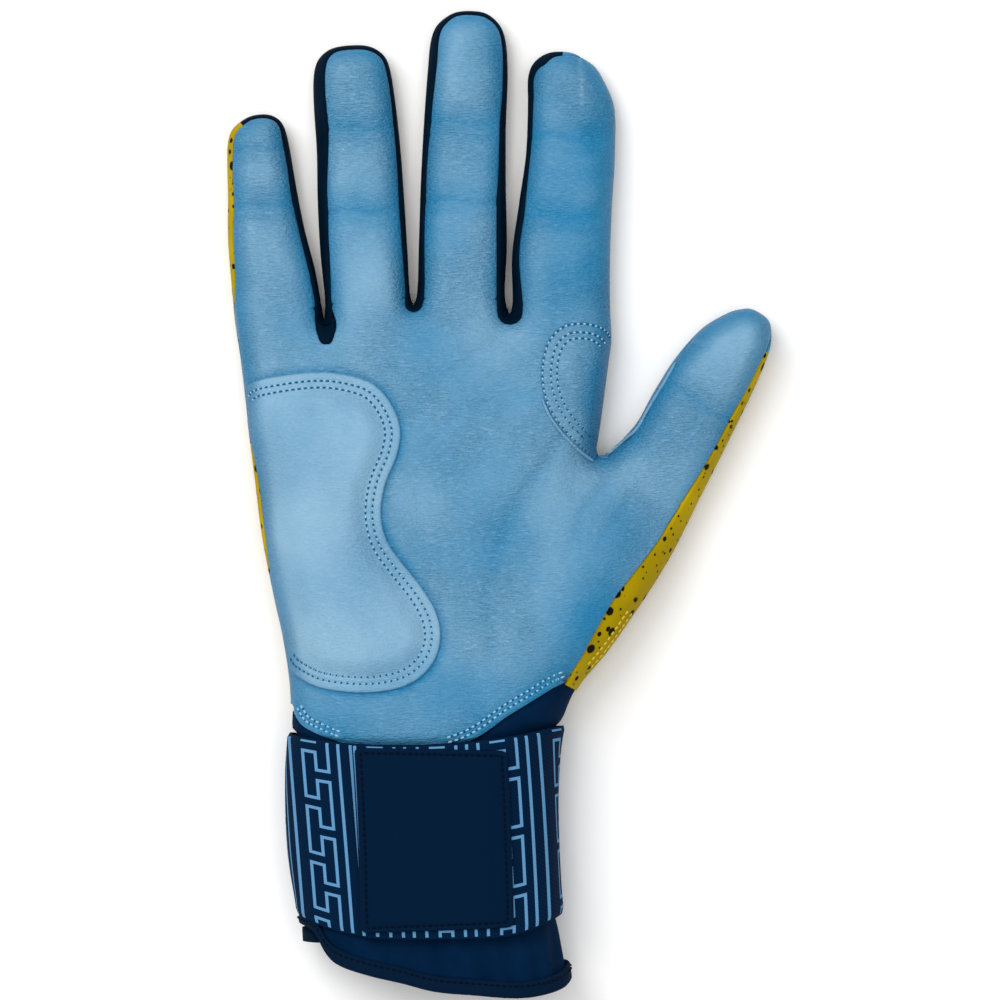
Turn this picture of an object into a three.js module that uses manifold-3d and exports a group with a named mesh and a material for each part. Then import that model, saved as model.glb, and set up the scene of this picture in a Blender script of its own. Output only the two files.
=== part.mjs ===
// A right-hand batting glove that lies on its back with the palm up.
// +X is the thumb side, +Y runs along the fingers and +Z comes out of the palm. Lengths are millimetres.
import * as THREE from "three";
import { mergeVertices } from "three/addons/utils/BufferGeometryUtils.js";
import Module from "manifold-3d";

const wasm = await Module();
wasm.setup();

// Overall sizes, from the wrist line at the strap's finger-side edge
const palmWidth = 98;
const palmLength = 117;
const cuffLength = 67.5;
const longestFinger = 76.6;

// Thickness of the glove from its back to its palm, and how much of it is on the palm side of the seam line
const tipThickness = 14.5;
const rootThickness = 17.5;
const palmThickness = 24;
const wristThickness = 31;
const thumbThickness = 19;
const palmSideShare = 0.54;

// Width of the rounded border between the silhouette and the flat middle
const tipRound = 9;
const rootRound = 10.5;
const palmRound = 20;
const wristRound = 22;
const thumbRound = 11;
const digitRoundShare = 0.9;
const digitGirthShare = 0.8;

// Walls
const leatherWall = 1.2;
const fabricWall = 1;
const cuffWall = 1.5;
const elasticWall = 1.2;
const padWall = 0.8;
const tabWall = 1;
const bindingWall = 0.9;
const foamHeight = 1.5;
const seamGap = 0.3;

// Seams: how far the edge of a panel lies inside the silhouette
const palmEdgeBand = 0.9;
const backBand = 2;
const tipBand = 1;
const overlayGap = 0.45;
const weltRadius = 0.8;

// Strap and tab: the layers lie on one another, a layer gap apart
const layerGap = 0.5;
const padMargin = 3;
const bindingLip = 5;
const bandLevel = -seamGap - elasticWall;
const cuffInset = layerGap - bandLevel;
const loopLevel = bandLevel + elasticWall + layerGap;
const hookLevel = loopLevel + padWall + layerGap;
const endLevel = hookLevel + padWall + layerGap;
const tabLevel = endLevel + elasticWall + layerGap;

// Where the thickness and the rounding change along the glove
const wristLineShare = 0.06;
const midPalmShare = 0.55;
const sections = [
  { y: wristLineShare * palmLength, thickness: wristThickness, round: wristRound },
  { y: midPalmShare * palmLength, thickness: palmThickness, round: palmRound },
  { y: palmLength, thickness: rootThickness, round: rootRound },
  { y: palmLength + longestFinger, thickness: tipThickness, round: tipRound },
];

// The digits: left and right half widths are shares of the width, at shares of the length from root to tip
const stationShares = [0, 0.2, 0.4, 0.6, 0.8, 0.9, 0.95, 0.98, 1];
const columnShares = [0, 0.07, 0.25, 0.5, 0.75, 0.93, 1];
const little = {
  name: "little",
  rootShares: [-0.411, 0.969],
  length: 53.1,
  width: 20,
  lean: -6.5,
  leftShares: [0.595, 0.585, 0.565, 0.505, 0.455, 0.41, 0.34, 0.21, 0.11],
  rightShares: [0.575, 0.54, 0.465, 0.42, 0.39, 0.365, 0.33, 0.26, 0.16],
  leftBand: 0.9,
  rightBand: 1.4,
};
const ring = {
  name: "ring",
  rootShares: [-0.171, 0.997],
  length: 68,
  width: 23,
  lean: -3.6,
  leftShares: [0.491, 0.509, 0.504, 0.478, 0.478, 0.457, 0.413, 0.33, 0.217],
  rightShares: [0.504, 0.5, 0.5, 0.491, 0.461, 0.43, 0.391, 0.304, 0.191],
  leftBand: 2.6,
  rightBand: 1,
};
const middle = {
  name: "middle",
  rootShares: [0.083, 1.001],
  length: longestFinger,
  width: 23,
  lean: 1.5,
  leftShares: [0.517, 0.504, 0.5, 0.483, 0.452, 0.426, 0.37, 0.261, 0.148],
  rightShares: [0.517, 0.517, 0.487, 0.47, 0.474, 0.443, 0.391, 0.3, 0.2],
  leftBand: 2,
  rightBand: 1.9,
};
const index = {
  name: "index",
  rootShares: [0.355, 0.983],
  length: 67.9,
  width: 25,
  lean: 1.7,
  leftShares: [0.52, 0.536, 0.48, 0.42, 0.416, 0.424, 0.384, 0.304, 0.2],
  rightShares: [0.524, 0.508, 0.512, 0.528, 0.5, 0.376, 0.288, 0.152, 0.056],
  leftBand: 1.8,
  rightBand: 0.9,
};
const thumb = {
  name: "thumb",
  rootShares: [0.59, 0.585],
  length: 53.7,
  width: 24,
  lean: 30.9,
  leftShares: [0.525, 0.462, 0.467, 0.45, 0.354, 0.233, 0.158, 0.075, 0.033],
  rightShares: [0.604, 0.571, 0.537, 0.5, 0.446, 0.396, 0.333, 0.288, 0.242],
  leftBand: 0.6,
  rightBand: 3.1,
};
const fingers = [little, ring, middle, index];

// Outlines of the hand, as shares of the palm's width and length
const ulnarShares = [
  [-0.379, 0.113], [-0.398, 0.226], [-0.425, 0.328], [-0.457, 0.464],
  [-0.476, 0.589], [-0.495, 0.713], [-0.508, 0.815], [-0.525, 0.917],
];
const thumbSideShares = [
  [0.398, 0.113], [0.481, 0.199], [0.546, 0.276], [0.603, 0.347], [0.654, 0.417], [0.698, 0.489],
];
const leatherSideShares = [
  [0.389, 0.136], [0.425, 0.226], [0.476, 0.294], [0.535, 0.362], [0.6, 0.43], [0.654, 0.498],
];
const radialShares = [
  [0.46, 0.627], [0.46, 0.68], [0.465, 0.736], [0.484, 0.856], [0.492, 0.911],
];
const thumbCrotchShares = [0.449, 0.618];
const crotchShares = [
  [-0.289, 0.956], [-0.046, 0.99], [0.216, 0.969],
];
const webFootShares = [
  [-0.279, 0.899], [-0.046, 0.974], [0.216, 0.94],
];
const leatherHemShares = [
  [-0.368, 0.063], [-0.316, 0.023], [-0.23, 0.008], [-0.068, 0.006],
  [0.095, 0.009], [0.208, 0.057], [0.333, 0.122], [0.389, 0.136],
];
const backHemShares = [
  [-0.368, 0.079], [0, 0.063], [0.379, 0.1],
];
const heelShares = [
  [-0.462, 0.777], [-0.419, 0.809], [-0.297, 0.824], [-0.216, 0.818], [-0.149, 0.797], [-0.1, 0.752],
  [-0.078, 0.702], [-0.087, 0.646], [-0.119, 0.578], [-0.13, 0.51], [-0.114, 0.453], [-0.073, 0.403],
  [-0.014, 0.34], [0.022, 0.283], [0.03, 0.226], [0.005, 0.17], [-0.049, 0.131], [-0.122, 0.113],
  [-0.216, 0.111], [-0.297, 0.122], [-0.35, 0.145], [-0.377, 0.249], [-0.424, 0.43], [-0.449, 0.589],
];
const heelCentreShares = [-0.25, 0.452];
const crotchOverlayShares = [
  [0.463, 0.917], [0.447, 0.94], [0.414, 0.952], [0.365, 0.94], [0.324, 0.895], [0.312, 0.827],
  [0.328, 0.775], [0.363, 0.733], [0.414, 0.692], [0.435, 0.68], [0.442, 0.712], [0.455, 0.8],
];
const crotchOverlayCentreShares = [0.39, 0.82];
const palmWeltShares = [
  [0.319, 0.75], [0.346, 0.71], [0.396, 0.662], [0.44, 0.632],
];
const thumbWeltShares = [0.04, 0.2, 0.4, 0.58];

// Outlines of the cuff and the strap, as shares of the palm's width and the cuff's length
const ulnarCuffShares = [
  [-0.345, -1], [-0.352, -0.726], [-0.381, -0.432], [-0.387, -0.137], [-0.379, 0.059],
];
const thumbCuffShares = [
  [0.386, -1], [0.384, -0.934], [0.362, -0.687], [0.343, -0.432], [0.341, -0.157], [0.357, 0.039],
];
const hemShares = [
  [-0.384, -0.73], [-0.319, -0.75], [-0.281, -0.795], [-0.235, -0.879], [-0.157, -0.915], [-0.076, -0.942],
  [0.008, -0.974], [0.119, -0.989], [0.241, -1], [0.311, -0.989], [0.362, -0.966], [0.39, -0.934],
];
const backHemLineShares = [
  [-0.384, -0.73], [-0.2, -0.81], [0, -0.86], [0.39, -0.934],
];
const strapTopShares = [
  [-0.384, 0.031], [-0.203, -0.004], [0.054, -0.008], [0.216, 0.02], [0.365, 0.067],
];
const strapBottomShares = [
  [-0.352, -0.707], [-0.216, -0.762], [0.054, -0.773], [0.216, -0.758], [0.36, -0.695],
];
const tabCornerShares = [
  [-0.2, -0.02], [0.197, -0.031], [0.216, -0.726], [-0.184, -0.746],
];
const bandStartTurnShare = 0.321;
const bandEndTurnShare = -0.6194;
const bandRiseShare = 0.3;
const sleeveTopShare = 0.15;
const loopSpanShares = [-0.18, 0.13];
const hookSpanShares = [-0.175, 0.19];
const endSpanShares = [-0.19, 0.2365];
const underlapTurnShares = [-0.06, 0.125];
const underlapSpanShares = [-0.55, -0.79];

const lerp = THREE.MathUtils.lerp;
const smoothstep = THREE.MathUtils.smoothstep;
const mix = (a, b, share) => a.map((v, i) => lerp(v, b[i], share));
const onHand = ([x, y]) => [x * palmWidth, y * palmLength];
const onCuff = ([x, y]) => [x * palmWidth, y * cuffLength];

// The value at a place in a rising list of [place, value] pairs
function tableAt(pairs, place) {
  const above = pairs.findIndex(([at]) => at > place);
  const next = above < 0 ? pairs.length - 1 : Math.max(1, above);
  const [from, low] = pairs[next - 1];
  const [to, high] = pairs[next];
  return lerp(low, high, THREE.MathUtils.clamp((place - from) / (to - from), 0, 1));
}

// A place on a digit: along it from the root, and across it with the thumb side positive
function onDigit(digit, along, across) {
  const lean = THREE.MathUtils.degToRad(digit.lean);
  const [x, y] = onHand(digit.rootShares);
  return [
    x + across * Math.cos(lean) + along * Math.sin(lean),
    y - across * Math.sin(lean) + along * Math.cos(lean),
  ];
}

function halfWidth(digit, shares, along) {
  const pairs = stationShares.map((share, i) => [share * digit.length, shares[i] * digit.width]);
  return tableAt(pairs, along);
}

const leftOf = (digit, along) => halfWidth(digit, digit.leftShares, along);
const rightOf = (digit, along) => halfWidth(digit, digit.rightShares, along);

function digitOutline(digit) {
  const up = stationShares.map((share) => share * digit.length);
  const left = up.map((along) => onDigit(digit, along, -leftOf(digit, along)));
  const right = up.map((along) => onDigit(digit, along, rightOf(digit, along)));
  return [...left, ...right.reverse()];
}

// The silhouette, from the cuff's little-finger side over the digits and down to its thumb side
const ulnarEdge = [...ulnarCuffShares.map(onCuff), ...ulnarShares.map(onHand)];
const thumbEdge = [...thumbCuffShares.map(onCuff), ...thumbSideShares.map(onHand)];
const radialEdge = radialShares.map(onHand);
const crotches = crotchShares.map(onHand);
const silhouette = [
  ...ulnarEdge,
  ...fingers.flatMap((finger, i) => [...digitOutline(finger), ...crotches.slice(i, i + 1)]),
  ...radialEdge.toReversed(),
  ...digitOutline(thumb),
  ...thumbEdge.toReversed(),
];

// The nearest point of the silhouette: how far it is, and the direction out to it
function nearestEdge([x, y]) {
  let best = { distance: Infinity, out: [1, 0] };
  silhouette.slice(1).forEach(([bx, by], i) => {
    const [ax, ay] = silhouette[i];
    const length = Math.hypot(bx - ax, by - ay);
    const share = ((x - ax) * (bx - ax) + (y - ay) * (by - ay)) / length ** 2;
    const [px, py] = mix([ax, ay], [bx, by], THREE.MathUtils.clamp(share, 0, 1));
    const distance = Math.hypot(px - x, py - y);
    if (distance < best.distance) {
      const touching = distance < seamGap / 4;
      const out = touching
        ? [(ay - by) / length, (bx - ax) / length]
        : [(px - x) / distance, (py - y) / distance];
      best = { distance, out };
    }
  });
  return best;
}

// How much a place belongs to the thumb, from 0 on the palm to 1 past the thumb's root
function thumbPart([x, y]) {
  const lean = THREE.MathUtils.degToRad(thumb.lean);
  const [rootX, rootY] = onHand(thumb.rootShares);
  const along = (x - rootX) * Math.sin(lean) + (y - rootY) * Math.cos(lean);
  const across = (x - rootX) * Math.cos(lean) - (y - rootY) * Math.sin(lean);
  return smoothstep(along, -thumb.width, 0) * smoothstep(across, -thumb.width, -thumb.width / 2);
}

function fieldAt(place) {
  const share = thumbPart(place);
  const ease = (key) => {
    const above = sections.findIndex(({ y }) => y > place[1]);
    const next = above < 0 ? sections.length - 1 : Math.max(1, above);
    const [from, to] = sections.slice(next - 1, next + 1);
    return lerp(from[key], to[key], smoothstep(place[1], from.y, to.y));
  };
  return {
    thickness: lerp(ease("thickness"), thumbThickness, share),
    round: lerp(ease("round"), thumbRound, share),
  };
}

// A point on the glove's skin: side 1 is the palm side, -1 the back. Slide moves it along the skin
// towards the silhouette, and offset moves it out of the skin.
function skinPoint({ at, side, round = Infinity, slide = 0 }, offset) {
  const edge = nearestEdge(at);
  const field = fieldAt(at);
  const border = Math.min(field.round, round);
  const turn = Math.acos(Math.max(0, 1 - edge.distance / border));
  const seam = field.thickness * (1 - palmSideShare);
  const rise = side > 0 ? field.thickness - seam : seam;
  const outward = Math.cos(turn) / border;
  const upward = Math.sin(turn) / rise;
  const norm = Math.hypot(outward, upward);
  const [flat, steep] = [outward / norm, upward / norm];
  const reach = flat * offset + steep * slide;
  const lift = steep * offset - flat * slide;
  return new THREE.Vector3(
    at[0] + edge.out[0] * reach,
    at[1] + edge.out[1] * reach,
    seam + side * (rise * Math.sin(turn) + lift),
  );
}

// An indexed solid from points and triangles, turned so that its faces point out
function solidFrom(points, triangles) {
  const volume = triangles.reduce(
    (sum, [a, b, c]) => sum + points[a].dot(new THREE.Vector3().crossVectors(points[b], points[c])),
    0,
  );
  const turned = volume < 0 ? triangles.map(([a, b, c]) => [a, c, b]) : triangles;
  const geometry = new THREE.BufferGeometry().setFromPoints(points);
  geometry.setIndex(turned.flat());
  return geometry;
}

// The triangles of a grid of numbered points, without those that have collapsed
function gridTriangles(numbers) {
  const triangles = [];
  for (let i = 1; i < numbers.length; i += 1) {
    for (let j = 1; j < numbers[i].length; j += 1) {
      const corners = [numbers[i - 1][j - 1], numbers[i][j - 1], numbers[i][j], numbers[i - 1][j]];
      if (corners.some((corner) => corner === undefined)) continue;
      const [a, b, c, d] = corners;
      triangles.push([a, b, c], [a, c, d]);
    }
  }
  return triangles.filter(([a, b, c]) => a !== b && b !== c && c !== a);
}

// Points nearer than this share one number
const weld = 0.002;

// Numbers the points of a grid
function numberPoints(grid) {
  const points = [];
  const known = new Map();
  const numbers = grid.map((row) =>
    row.map((point) => {
      if (!point) return undefined;
      const key = point.toArray().map((v) => Math.round(v / weld)).join();
      if (!known.has(key)) known.set(key, points.push(point) - 1);
      return known.get(key);
    }),
  );
  return { points, numbers };
}

// A wall between two offsets of the skin over a grid of places, closed along its open edges
function wall(grid, outer, inner) {
  const level = (offset, spot) => (typeof offset === "function" ? offset(spot) : offset);
  const { points, numbers } = numberPoints(
    grid.map((row) => row.map((spot) => spot && skinPoint(spot, level(outer, spot)))),
  );
  const inside = [];
  grid.forEach((row, i) =>
    row.forEach((spot, j) => {
      if (spot) inside[numbers[i][j]] = skinPoint(spot, level(inner, spot));
    }),
  );
  const count = points.length;
  const faces = gridTriangles(numbers);
  const edges = new Set(faces.flatMap(([a, b, c]) => [`${a},${b}`, `${b},${c}`, `${c},${a}`]));
  const rim = [...edges]
    .map((edge) => edge.split(",").map(Number))
    .filter(([a, b]) => !edges.has(`${b},${a}`))
    .flatMap(([a, b]) => [[b, a, a + count], [b, a + count, b + count]]);
  const under = faces.map(([a, b, c]) => [a + count, c + count, b + count]);
  return solidFrom([...points, ...inside], [...faces, ...under, ...rim]);
}

// A solid whose surface is a grid of points that closes on itself both ways
function ringSolid(grid) {
  const { points, numbers } = numberPoints(grid);
  return solidFrom(points, gridTriangles(numbers));
}

// A digit's panels and side strips
function digitSpots(digit, side) {
  const [leftBand, rightBand, tip] = side > 0
    ? [digit.leftBand, digit.rightBand, tipBand]
    : [backBand, backBand, backBand];
  const girthAt = digitGirthShare * digit.length;
  return stationShares.map((share) => {
    const along = lerp(seamGap / 2, digit.length - tip, share);
    const body = Math.min(along, girthAt);
    const round = digitRoundShare * Math.min(leftOf(digit, body), rightOf(digit, body));
    return columnShares.map((column) => {
      const across = lerp(leftBand - leftOf(digit, along), rightOf(digit, along) - rightBand, column);
      return { at: onDigit(digit, along, across), side, round };
    });
  });
}

function digitStations(digit, part) {
  const front = digitSpots(digit, 1);
  const back = digitSpots(digit, -1);
  const tip = digit.length;
  const rows = stationShares.map((share, i) => {
    const along = lerp(seamGap / 2, tip - tipBand, share);
    const { round } = front[i][0];
    const leftEdge = onDigit(digit, along, -leftOf(digit, along));
    const rightEdge = onDigit(digit, along, rightOf(digit, along));
    return {
      left: { front: front[i].at(0).at, edge: leftEdge, back: back[i].at(0).at, round },
      right: { front: front[i].at(-1).at, edge: rightEdge, back: back[i].at(-1).at, round },
    };
  });
  const over = columnShares.map((column, j) => ({
    front: front.at(-1)[j].at,
    edge: onDigit(digit, tip, lerp(-leftOf(digit, tip), rightOf(digit, tip), column)),
    back: back.at(-1)[j].at,
    round: front.at(-1)[j].round,
  }));
  const stations = {
    left: rows.map((row) => row.left),
    tip: over,
    right: rows.map((row) => row.right).reverse(),
    tipToLeft: over.slice(0, -1),
    tipToRight: over.slice(1),
  };
  return stations[part];
}

// The section of a side strip, from its seam on the palm side round the silhouette to the back's seam
const bendShare = 0.4;
function stripSpots({ front, edge, back, round }) {
  return [
    { at: front, side: 1, round, slide: seamGap },
    { at: mix(edge, front, bendShare), side: 1, round },
    { at: edge, side: 1, round },
    { at: mix(edge, back, bendShare), side: -1, round },
    { at: back, side: -1, round, slide: seamGap },
  ];
}

const strip = (stations, thickness) => wall(stations.map(stripSpots), 0, -thickness);

// A back panel whose side comes round the silhouette to the seam on the palm side
function wrappedBack(digit, part) {
  const panel = digitSpots(digit, -1);
  const sides = digitStations(digit, part).map((station) => stripSpots(station).slice(0, -1));
  if (part === "left") return panel.map((row, i) => [...sides[i], ...row]);
  return panel.map((row, i) => [...row, ...sides.at(-1 - i).reverse()]);
}

// A Coons patch: the places inside four edges that meet at their ends
function coons(bottom, top, left, right) {
  const span = (edge, axis) => {
    const [start, end] = [edge.at(0)[axis], edge.at(-1)[axis]];
    return edge.map((p) => (p[axis] - start) / (end - start));
  };
  const across = span(top, 0);
  const upward = span(right, 1);
  const foot = across.map((share) => xyAt(bottom, 0, lerp(bottom[0][0], bottom.at(-1)[0], share)));
  const side = upward.map((share) => xyAt(left, 1, lerp(left[0][1], left.at(-1)[1], share)));
  return upward.map((v, i) =>
    across.map((t, j) => {
      const ruled = mix(mix(foot[0], foot.at(-1), t), mix(top[0], top.at(-1), t), v);
      const lofted = mix(foot[j], top[j], v);
      const crossed = mix(side[i], right[i], t);
      return lofted.map((value, axis) => value + crossed[axis] - ruled[axis]);
    }),
  );
}

// The point of an edge where one of its coordinates has a given value
function xyAt(edge, axis, value) {
  const other = tableAt(edge.map((p) => [p[axis], p[1 - axis]]), value);
  return axis === 0 ? [value, other] : [other, value];
}

const shifted = (edge, dx, dy = 0) => edge.map(([x, y]) => [x + dx, y + dy]);

// The palm-side or back panel of the hand, and the rows where the thumb's root and crotch start
const palmRootShares = [0, 0.33, 0.67, 1];
const palmOuterRootShares = [0, 0.1, 0.33, 0.67, 1];
const backRootShares = [0, 0.5, 1];
function handPanel(side) {
  const rootColumns = side > 0 ? palmRootShares : backRootShares;
  const outerColumns = side > 0 ? palmOuterRootShares : backRootShares;
  const feet = side > 0 ? webFootShares.map(onHand) : shifted(crotches, 0, -backBand);
  const band = side > 0 ? palmEdgeBand : backBand;
  const bands = (digit) => (side > 0 ? [digit.leftBand, digit.rightBand] : [backBand, backBand]);
  const rootRow = (digit, columns) => {
    const [leftBand, rightBand] = bands(digit);
    return columns.map((column) => {
      const across = lerp(leftBand - leftOf(digit, 0), rightOf(digit, 0) - rightBand, column);
      return onDigit(digit, -seamGap / 2, across);
    });
  };
  const mirrored = outerColumns.map((share) => 1 - share).reverse();
  const columnsOf = [outerColumns, rootColumns, rootColumns, mirrored];
  const top = fingers.flatMap((finger, i) => [...rootRow(finger, columnsOf[i]), ...feet.slice(i, i + 1)]);
  const hinge = rootRow(thumb, rootColumns).reverse().slice(0, -1);
  const handSide = thumbEdge.slice(-thumbSideShares.length);
  const wristSide = side > 0 ? leatherSideShares.map(onHand) : shifted(handSide, -backBand);
  const crotchFoot = mix(radialEdge[0], onHand(thumbCrotchShares), side > 0 ? 1 : 1 + bendShare);
  const radial = shifted(radialEdge.slice(1), -band);
  const right = [...wristSide, ...hinge, crotchFoot, ...radial, top.at(-1)];
  const hem = (side > 0 ? leatherHemShares : backHemShares).map(onHand);
  const left = [hem[0], ...shifted(ulnarEdge.filter(([, y]) => y > hem[0][1] + band), band), top[0]];
  const bottom = [...hem.slice(0, -1), right[0]];
  const grid = coons(bottom, top, left, right);
  const hingeRow = wristSide.length;
  return { grid, hingeRow, crotchRow: hingeRow + hinge.length };
}

const palmPanel = handPanel(1);
const backPanel = handPanel(-1);
const palmSpots = palmPanel.grid.map((row) => row.map((at) => ({ at, side: 1 })));

// The hand's back comes round both sides, up to the leather's seams
function handBackSpots() {
  const leftEdge = [...ulnarEdge, onDigit(little, -seamGap / 2, -leftOf(little, 0))];
  return backPanel.grid.map((row, i) => {
    const edge = xyAt(leftEdge, 1, row[0][1]);
    const left = stripSpots({ front: [edge[0] + palmEdgeBand, edge[1]], edge, back: row[0] });
    const panel = row.map((at) => ({ at, side: -1 }));
    const onWrist = i < backPanel.hingeRow;
    const atHinge = i === backPanel.hingeRow;
    const hingeEnd = onDigit(thumb, -seamGap / 2, rightOf(thumb, 0));
    const outer = onWrist ? thumbEdge.slice(-thumbSideShares.length)[i] : hingeEnd;
    const right = stripSpots({ front: palmPanel.grid[i].at(-1), edge: outer, back: row.at(-1) });
    const wrapped = onWrist || atHinge ? right.slice(0, -1).reverse() : right.slice(1).map(() => undefined);
    return [...left.slice(0, -1), ...panel, ...wrapped];
  });
}

// The leather strip along the edge of the palm between the thumb crotch and the index finger
function palmGussetStations() {
  const edges = [...radialEdge, onDigit(index, -seamGap / 2, rightOf(index, 0))];
  return edges.map((edge, i) => ({
    front: palmPanel.grid[palmPanel.crotchRow + i].at(-1),
    edge,
    back: backPanel.grid[backPanel.crotchRow + i].at(-1),
  }));
}

// A web closes the hand at the bottom of a finger gap
function webStations(i) {
  const [before, after] = [fingers[i], fingers[i + 1]];
  const start = -seamGap / 2;
  const station = (digit, sign) => {
    const half = sign > 0 ? rightOf(digit, 0) : leftOf(digit, 0);
    const band = sign > 0 ? digit.rightBand : digit.leftBand;
    return {
      front: onDigit(digit, start, sign * (half - band)),
      edge: onDigit(digit, start, sign * half),
      back: onDigit(digit, start, sign * (half - backBand)),
    };
  };
  const [back] = shifted([crotches[i]], 0, -backBand);
  const foot = { front: onHand(webFootShares[i]), edge: crotches[i], back };
  const between = (a, b) => ({
    front: mix(a.front, b.front, 0.5),
    edge: mix(a.edge, b.edge, 0.5),
    back: mix(a.back, b.back, 0.5),
  });
  const [first, last] = [station(before, 1), station(after, -1)];
  return [first, between(first, foot), foot, between(foot, last), last];
}

// A patch on the palm: rings of its closed outline drawn in to its centre
function patchSpots(outline, centre, ringShares, count) {
  const curve = new THREE.CatmullRomCurve3(outline.map(([x, y]) => new THREE.Vector3(x, y)), true);
  const loop = curve.getPoints(count).map((p) => [p.x, p.y]);
  loop[count] = loop[0];
  return ringShares.map((share) => loop.map((p) => ({ at: mix(centre, p, share), side: 1, share })));
}

// The heel overlay rises over its foam pad
const foamShare = 0.72;
const heelRings = [0, 0.4, foamShare, 0.88, 1];
const foamRings = [0, 0.36, 0.7];
const crotchRings = [0, 0.6, 1];
const heelLoop = 24;
const crotchLoop = 18;
const heelOutline = heelShares.map(onHand);
const heelCentre = onHand(heelCentreShares);
const heelRise = ({ share }) => (foamHeight + seamGap) * (1 - smoothstep(share, foamShare, 1));
const heelSpots = patchSpots(heelOutline, heelCentre, heelRings, heelLoop);
const heelInside = (spot) => overlayGap + heelRise(spot);
const heelOutside = (spot) => heelInside(spot) + leatherWall;
const foamSpots = patchSpots(heelOutline, heelCentre, foamRings, heelLoop);
const crotchOutline = crotchOverlayShares.map(onHand);
const crotchCentre = onHand(crotchOverlayCentreShares);
const crotchSpots = patchSpots(crotchOutline, crotchCentre, crotchRings, crotchLoop);

// A round welt that follows places on the palm
function welt(places, lift) {
  const path = new THREE.CatmullRomCurve3(places.map((at) => skinPoint({ at, side: 1 }, lift)));
  const section = new THREE.Shape().absarc(0, 0, weltRadius, 0, 2 * Math.PI);
  const steps = 4 * places.length;
  const tube = new THREE.ExtrudeGeometry(section, { steps, extrudePath: path, curveSegments: 4 });
  tube.deleteAttribute("normal");
  tube.deleteAttribute("uv");
  return mergeVertices(tube, weld);
}

const thumbWeltPlaces = thumbWeltShares.map((share) => {
  const along = share * thumb.length;
  return onDigit(thumb, along, thumb.leftBand - leftOf(thumb, along));
});

// A place on the cuff: turn 0 is the little-finger side, 0.25 the palm, 0.5 the thumb side, 0.75 the back
function cuffSpot(turn, y) {
  const left = xyAt(ulnarEdge, 1, y)[0];
  const right = xyAt(thumbEdge, 1, y)[0];
  const whole = turn - Math.floor(turn);
  const share = (1 - Math.cos(2 * Math.PI * whole)) / 2;
  return { at: [lerp(left, right, share), y], side: whole < 0.5 ? 1 : -1 };
}

const hemFront = hemShares.map(onCuff);
const hemBack = backHemLineShares.map(onCuff);
const strapTop = strapTopShares.map(onCuff);
const strapBottom = strapBottomShares.map(onCuff);
const strapMiddle = -cuffLength / 2;
const edgeY = (edge, spot) => xyAt(edge, 0, spot.at[0])[1];
const hemY = (turn) => {
  const spot = cuffSpot(turn, -cuffLength);
  return edgeY(spot.side > 0 ? hemFront : hemBack, spot);
};

const cuffSteps = 28;
const cuffTurns = Array.from({ length: cuffSteps }, (_, i) => i / cuffSteps);

// The sleeve lies under the strap, and below the strap it comes out to the binding at the hem
const hemInset = bindingWall + layerGap;
const underStrapShares = [0, 0.09, 0.18, 0.28, 0.5, 0.75, 1];
const strapFoot = (turn) => edgeY(strapBottom, cuffSpot(turn, -cuffLength));
const flare = 2 * cuffWall;
const flareAt = (turn, y) => smoothstep(strapFoot(turn) - y, 0, flare);
const sleeveDepth = (turn, y) => lerp(cuffInset, hemInset, flareAt(turn, y));
const sleeveEnd = (turn) => Math.min(hemY(turn) + hemInset, strapFoot(turn) - seamGap);
function sleeveSpots() {
  const columns = cuffTurns.map((turn) => {
    const foot = strapFoot(turn);
    const end = sleeveEnd(turn);
    const upper = underStrapShares.map((share) => lerp(sleeveTopShare * palmLength, foot, share));
    const levels = [...upper, (foot + end) / 2, end];
    return levels.map((y) => ({ ...cuffSpot(turn, y), depth: sleeveDepth(turn, y) }));
  });
  return [...columns, columns[0]];
}

// The binding folds round the hem
function bindingGrid() {
  const rows = cuffTurns.map((turn) => {
    const hem = hemY(turn);
    const lip = Math.min(bindingLip, strapFoot(turn) - hem - seamGap);
    const innerLip = (lip + bindingWall) / 2;
    const inside = sleeveDepth(turn, sleeveEnd(turn)) + cuffWall + layerGap;
    const section = [
      [0, lip], [0, 0], [inside + bindingWall, 0], [inside + bindingWall, innerLip],
      [inside, innerLip], [inside, bindingWall], [bindingWall, bindingWall], [bindingWall, lip],
    ];
    const points = section.map(([depth, up]) => skinPoint(cuffSpot(turn, hem + up), -depth));
    return [...points, points[0]];
  });
  return [...rows, rows[0]];
}

// The tongue under the slit at the hem's little-finger side
const underlapColumns = [0, 0.25, 0.5, 0.75, 1];
function underlapSpots() {
  const [from, to] = underlapTurnShares;
  const [high, low] = underlapSpanShares;
  const levels = [high, (high + low) / 2, low];
  return underlapColumns.map((share) =>
    levels.map((y) => cuffSpot(lerp(from, to, share), y * cuffLength)),
  );
}
const underlapDepth = cuffInset + cuffWall + bindingWall + 2 * layerGap;

// The band goes once round the wrist and climbs over its own start at the end
const bandRows = [0, 0.33, 0.67, 1];
function bandSpots() {
  const first = Math.floor(bandStartTurnShare * cuffSteps);
  const last = Math.ceil(bandEndTurnShare * cuffSteps);
  const whole = Array.from({ length: first - last + 1 }, (_, i) => (first - i) / cuffSteps);
  return [bandStartTurnShare, ...whole, bandEndTurnShare].map((turn) => {
    const share = (turn - bandStartTurnShare) / (bandEndTurnShare - bandStartTurnShare);
    const middleSpot = cuffSpot(turn, strapMiddle);
    const climb = smoothstep(share, 1 - bandRiseShare, 1) * (endLevel - bandLevel);
    return bandRows.map((row) => {
      const y = lerp(edgeY(strapTop, middleSpot), edgeY(strapBottom, middleSpot), row);
      return { ...cuffSpot(turn, y), climb };
    });
  });
}

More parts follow.
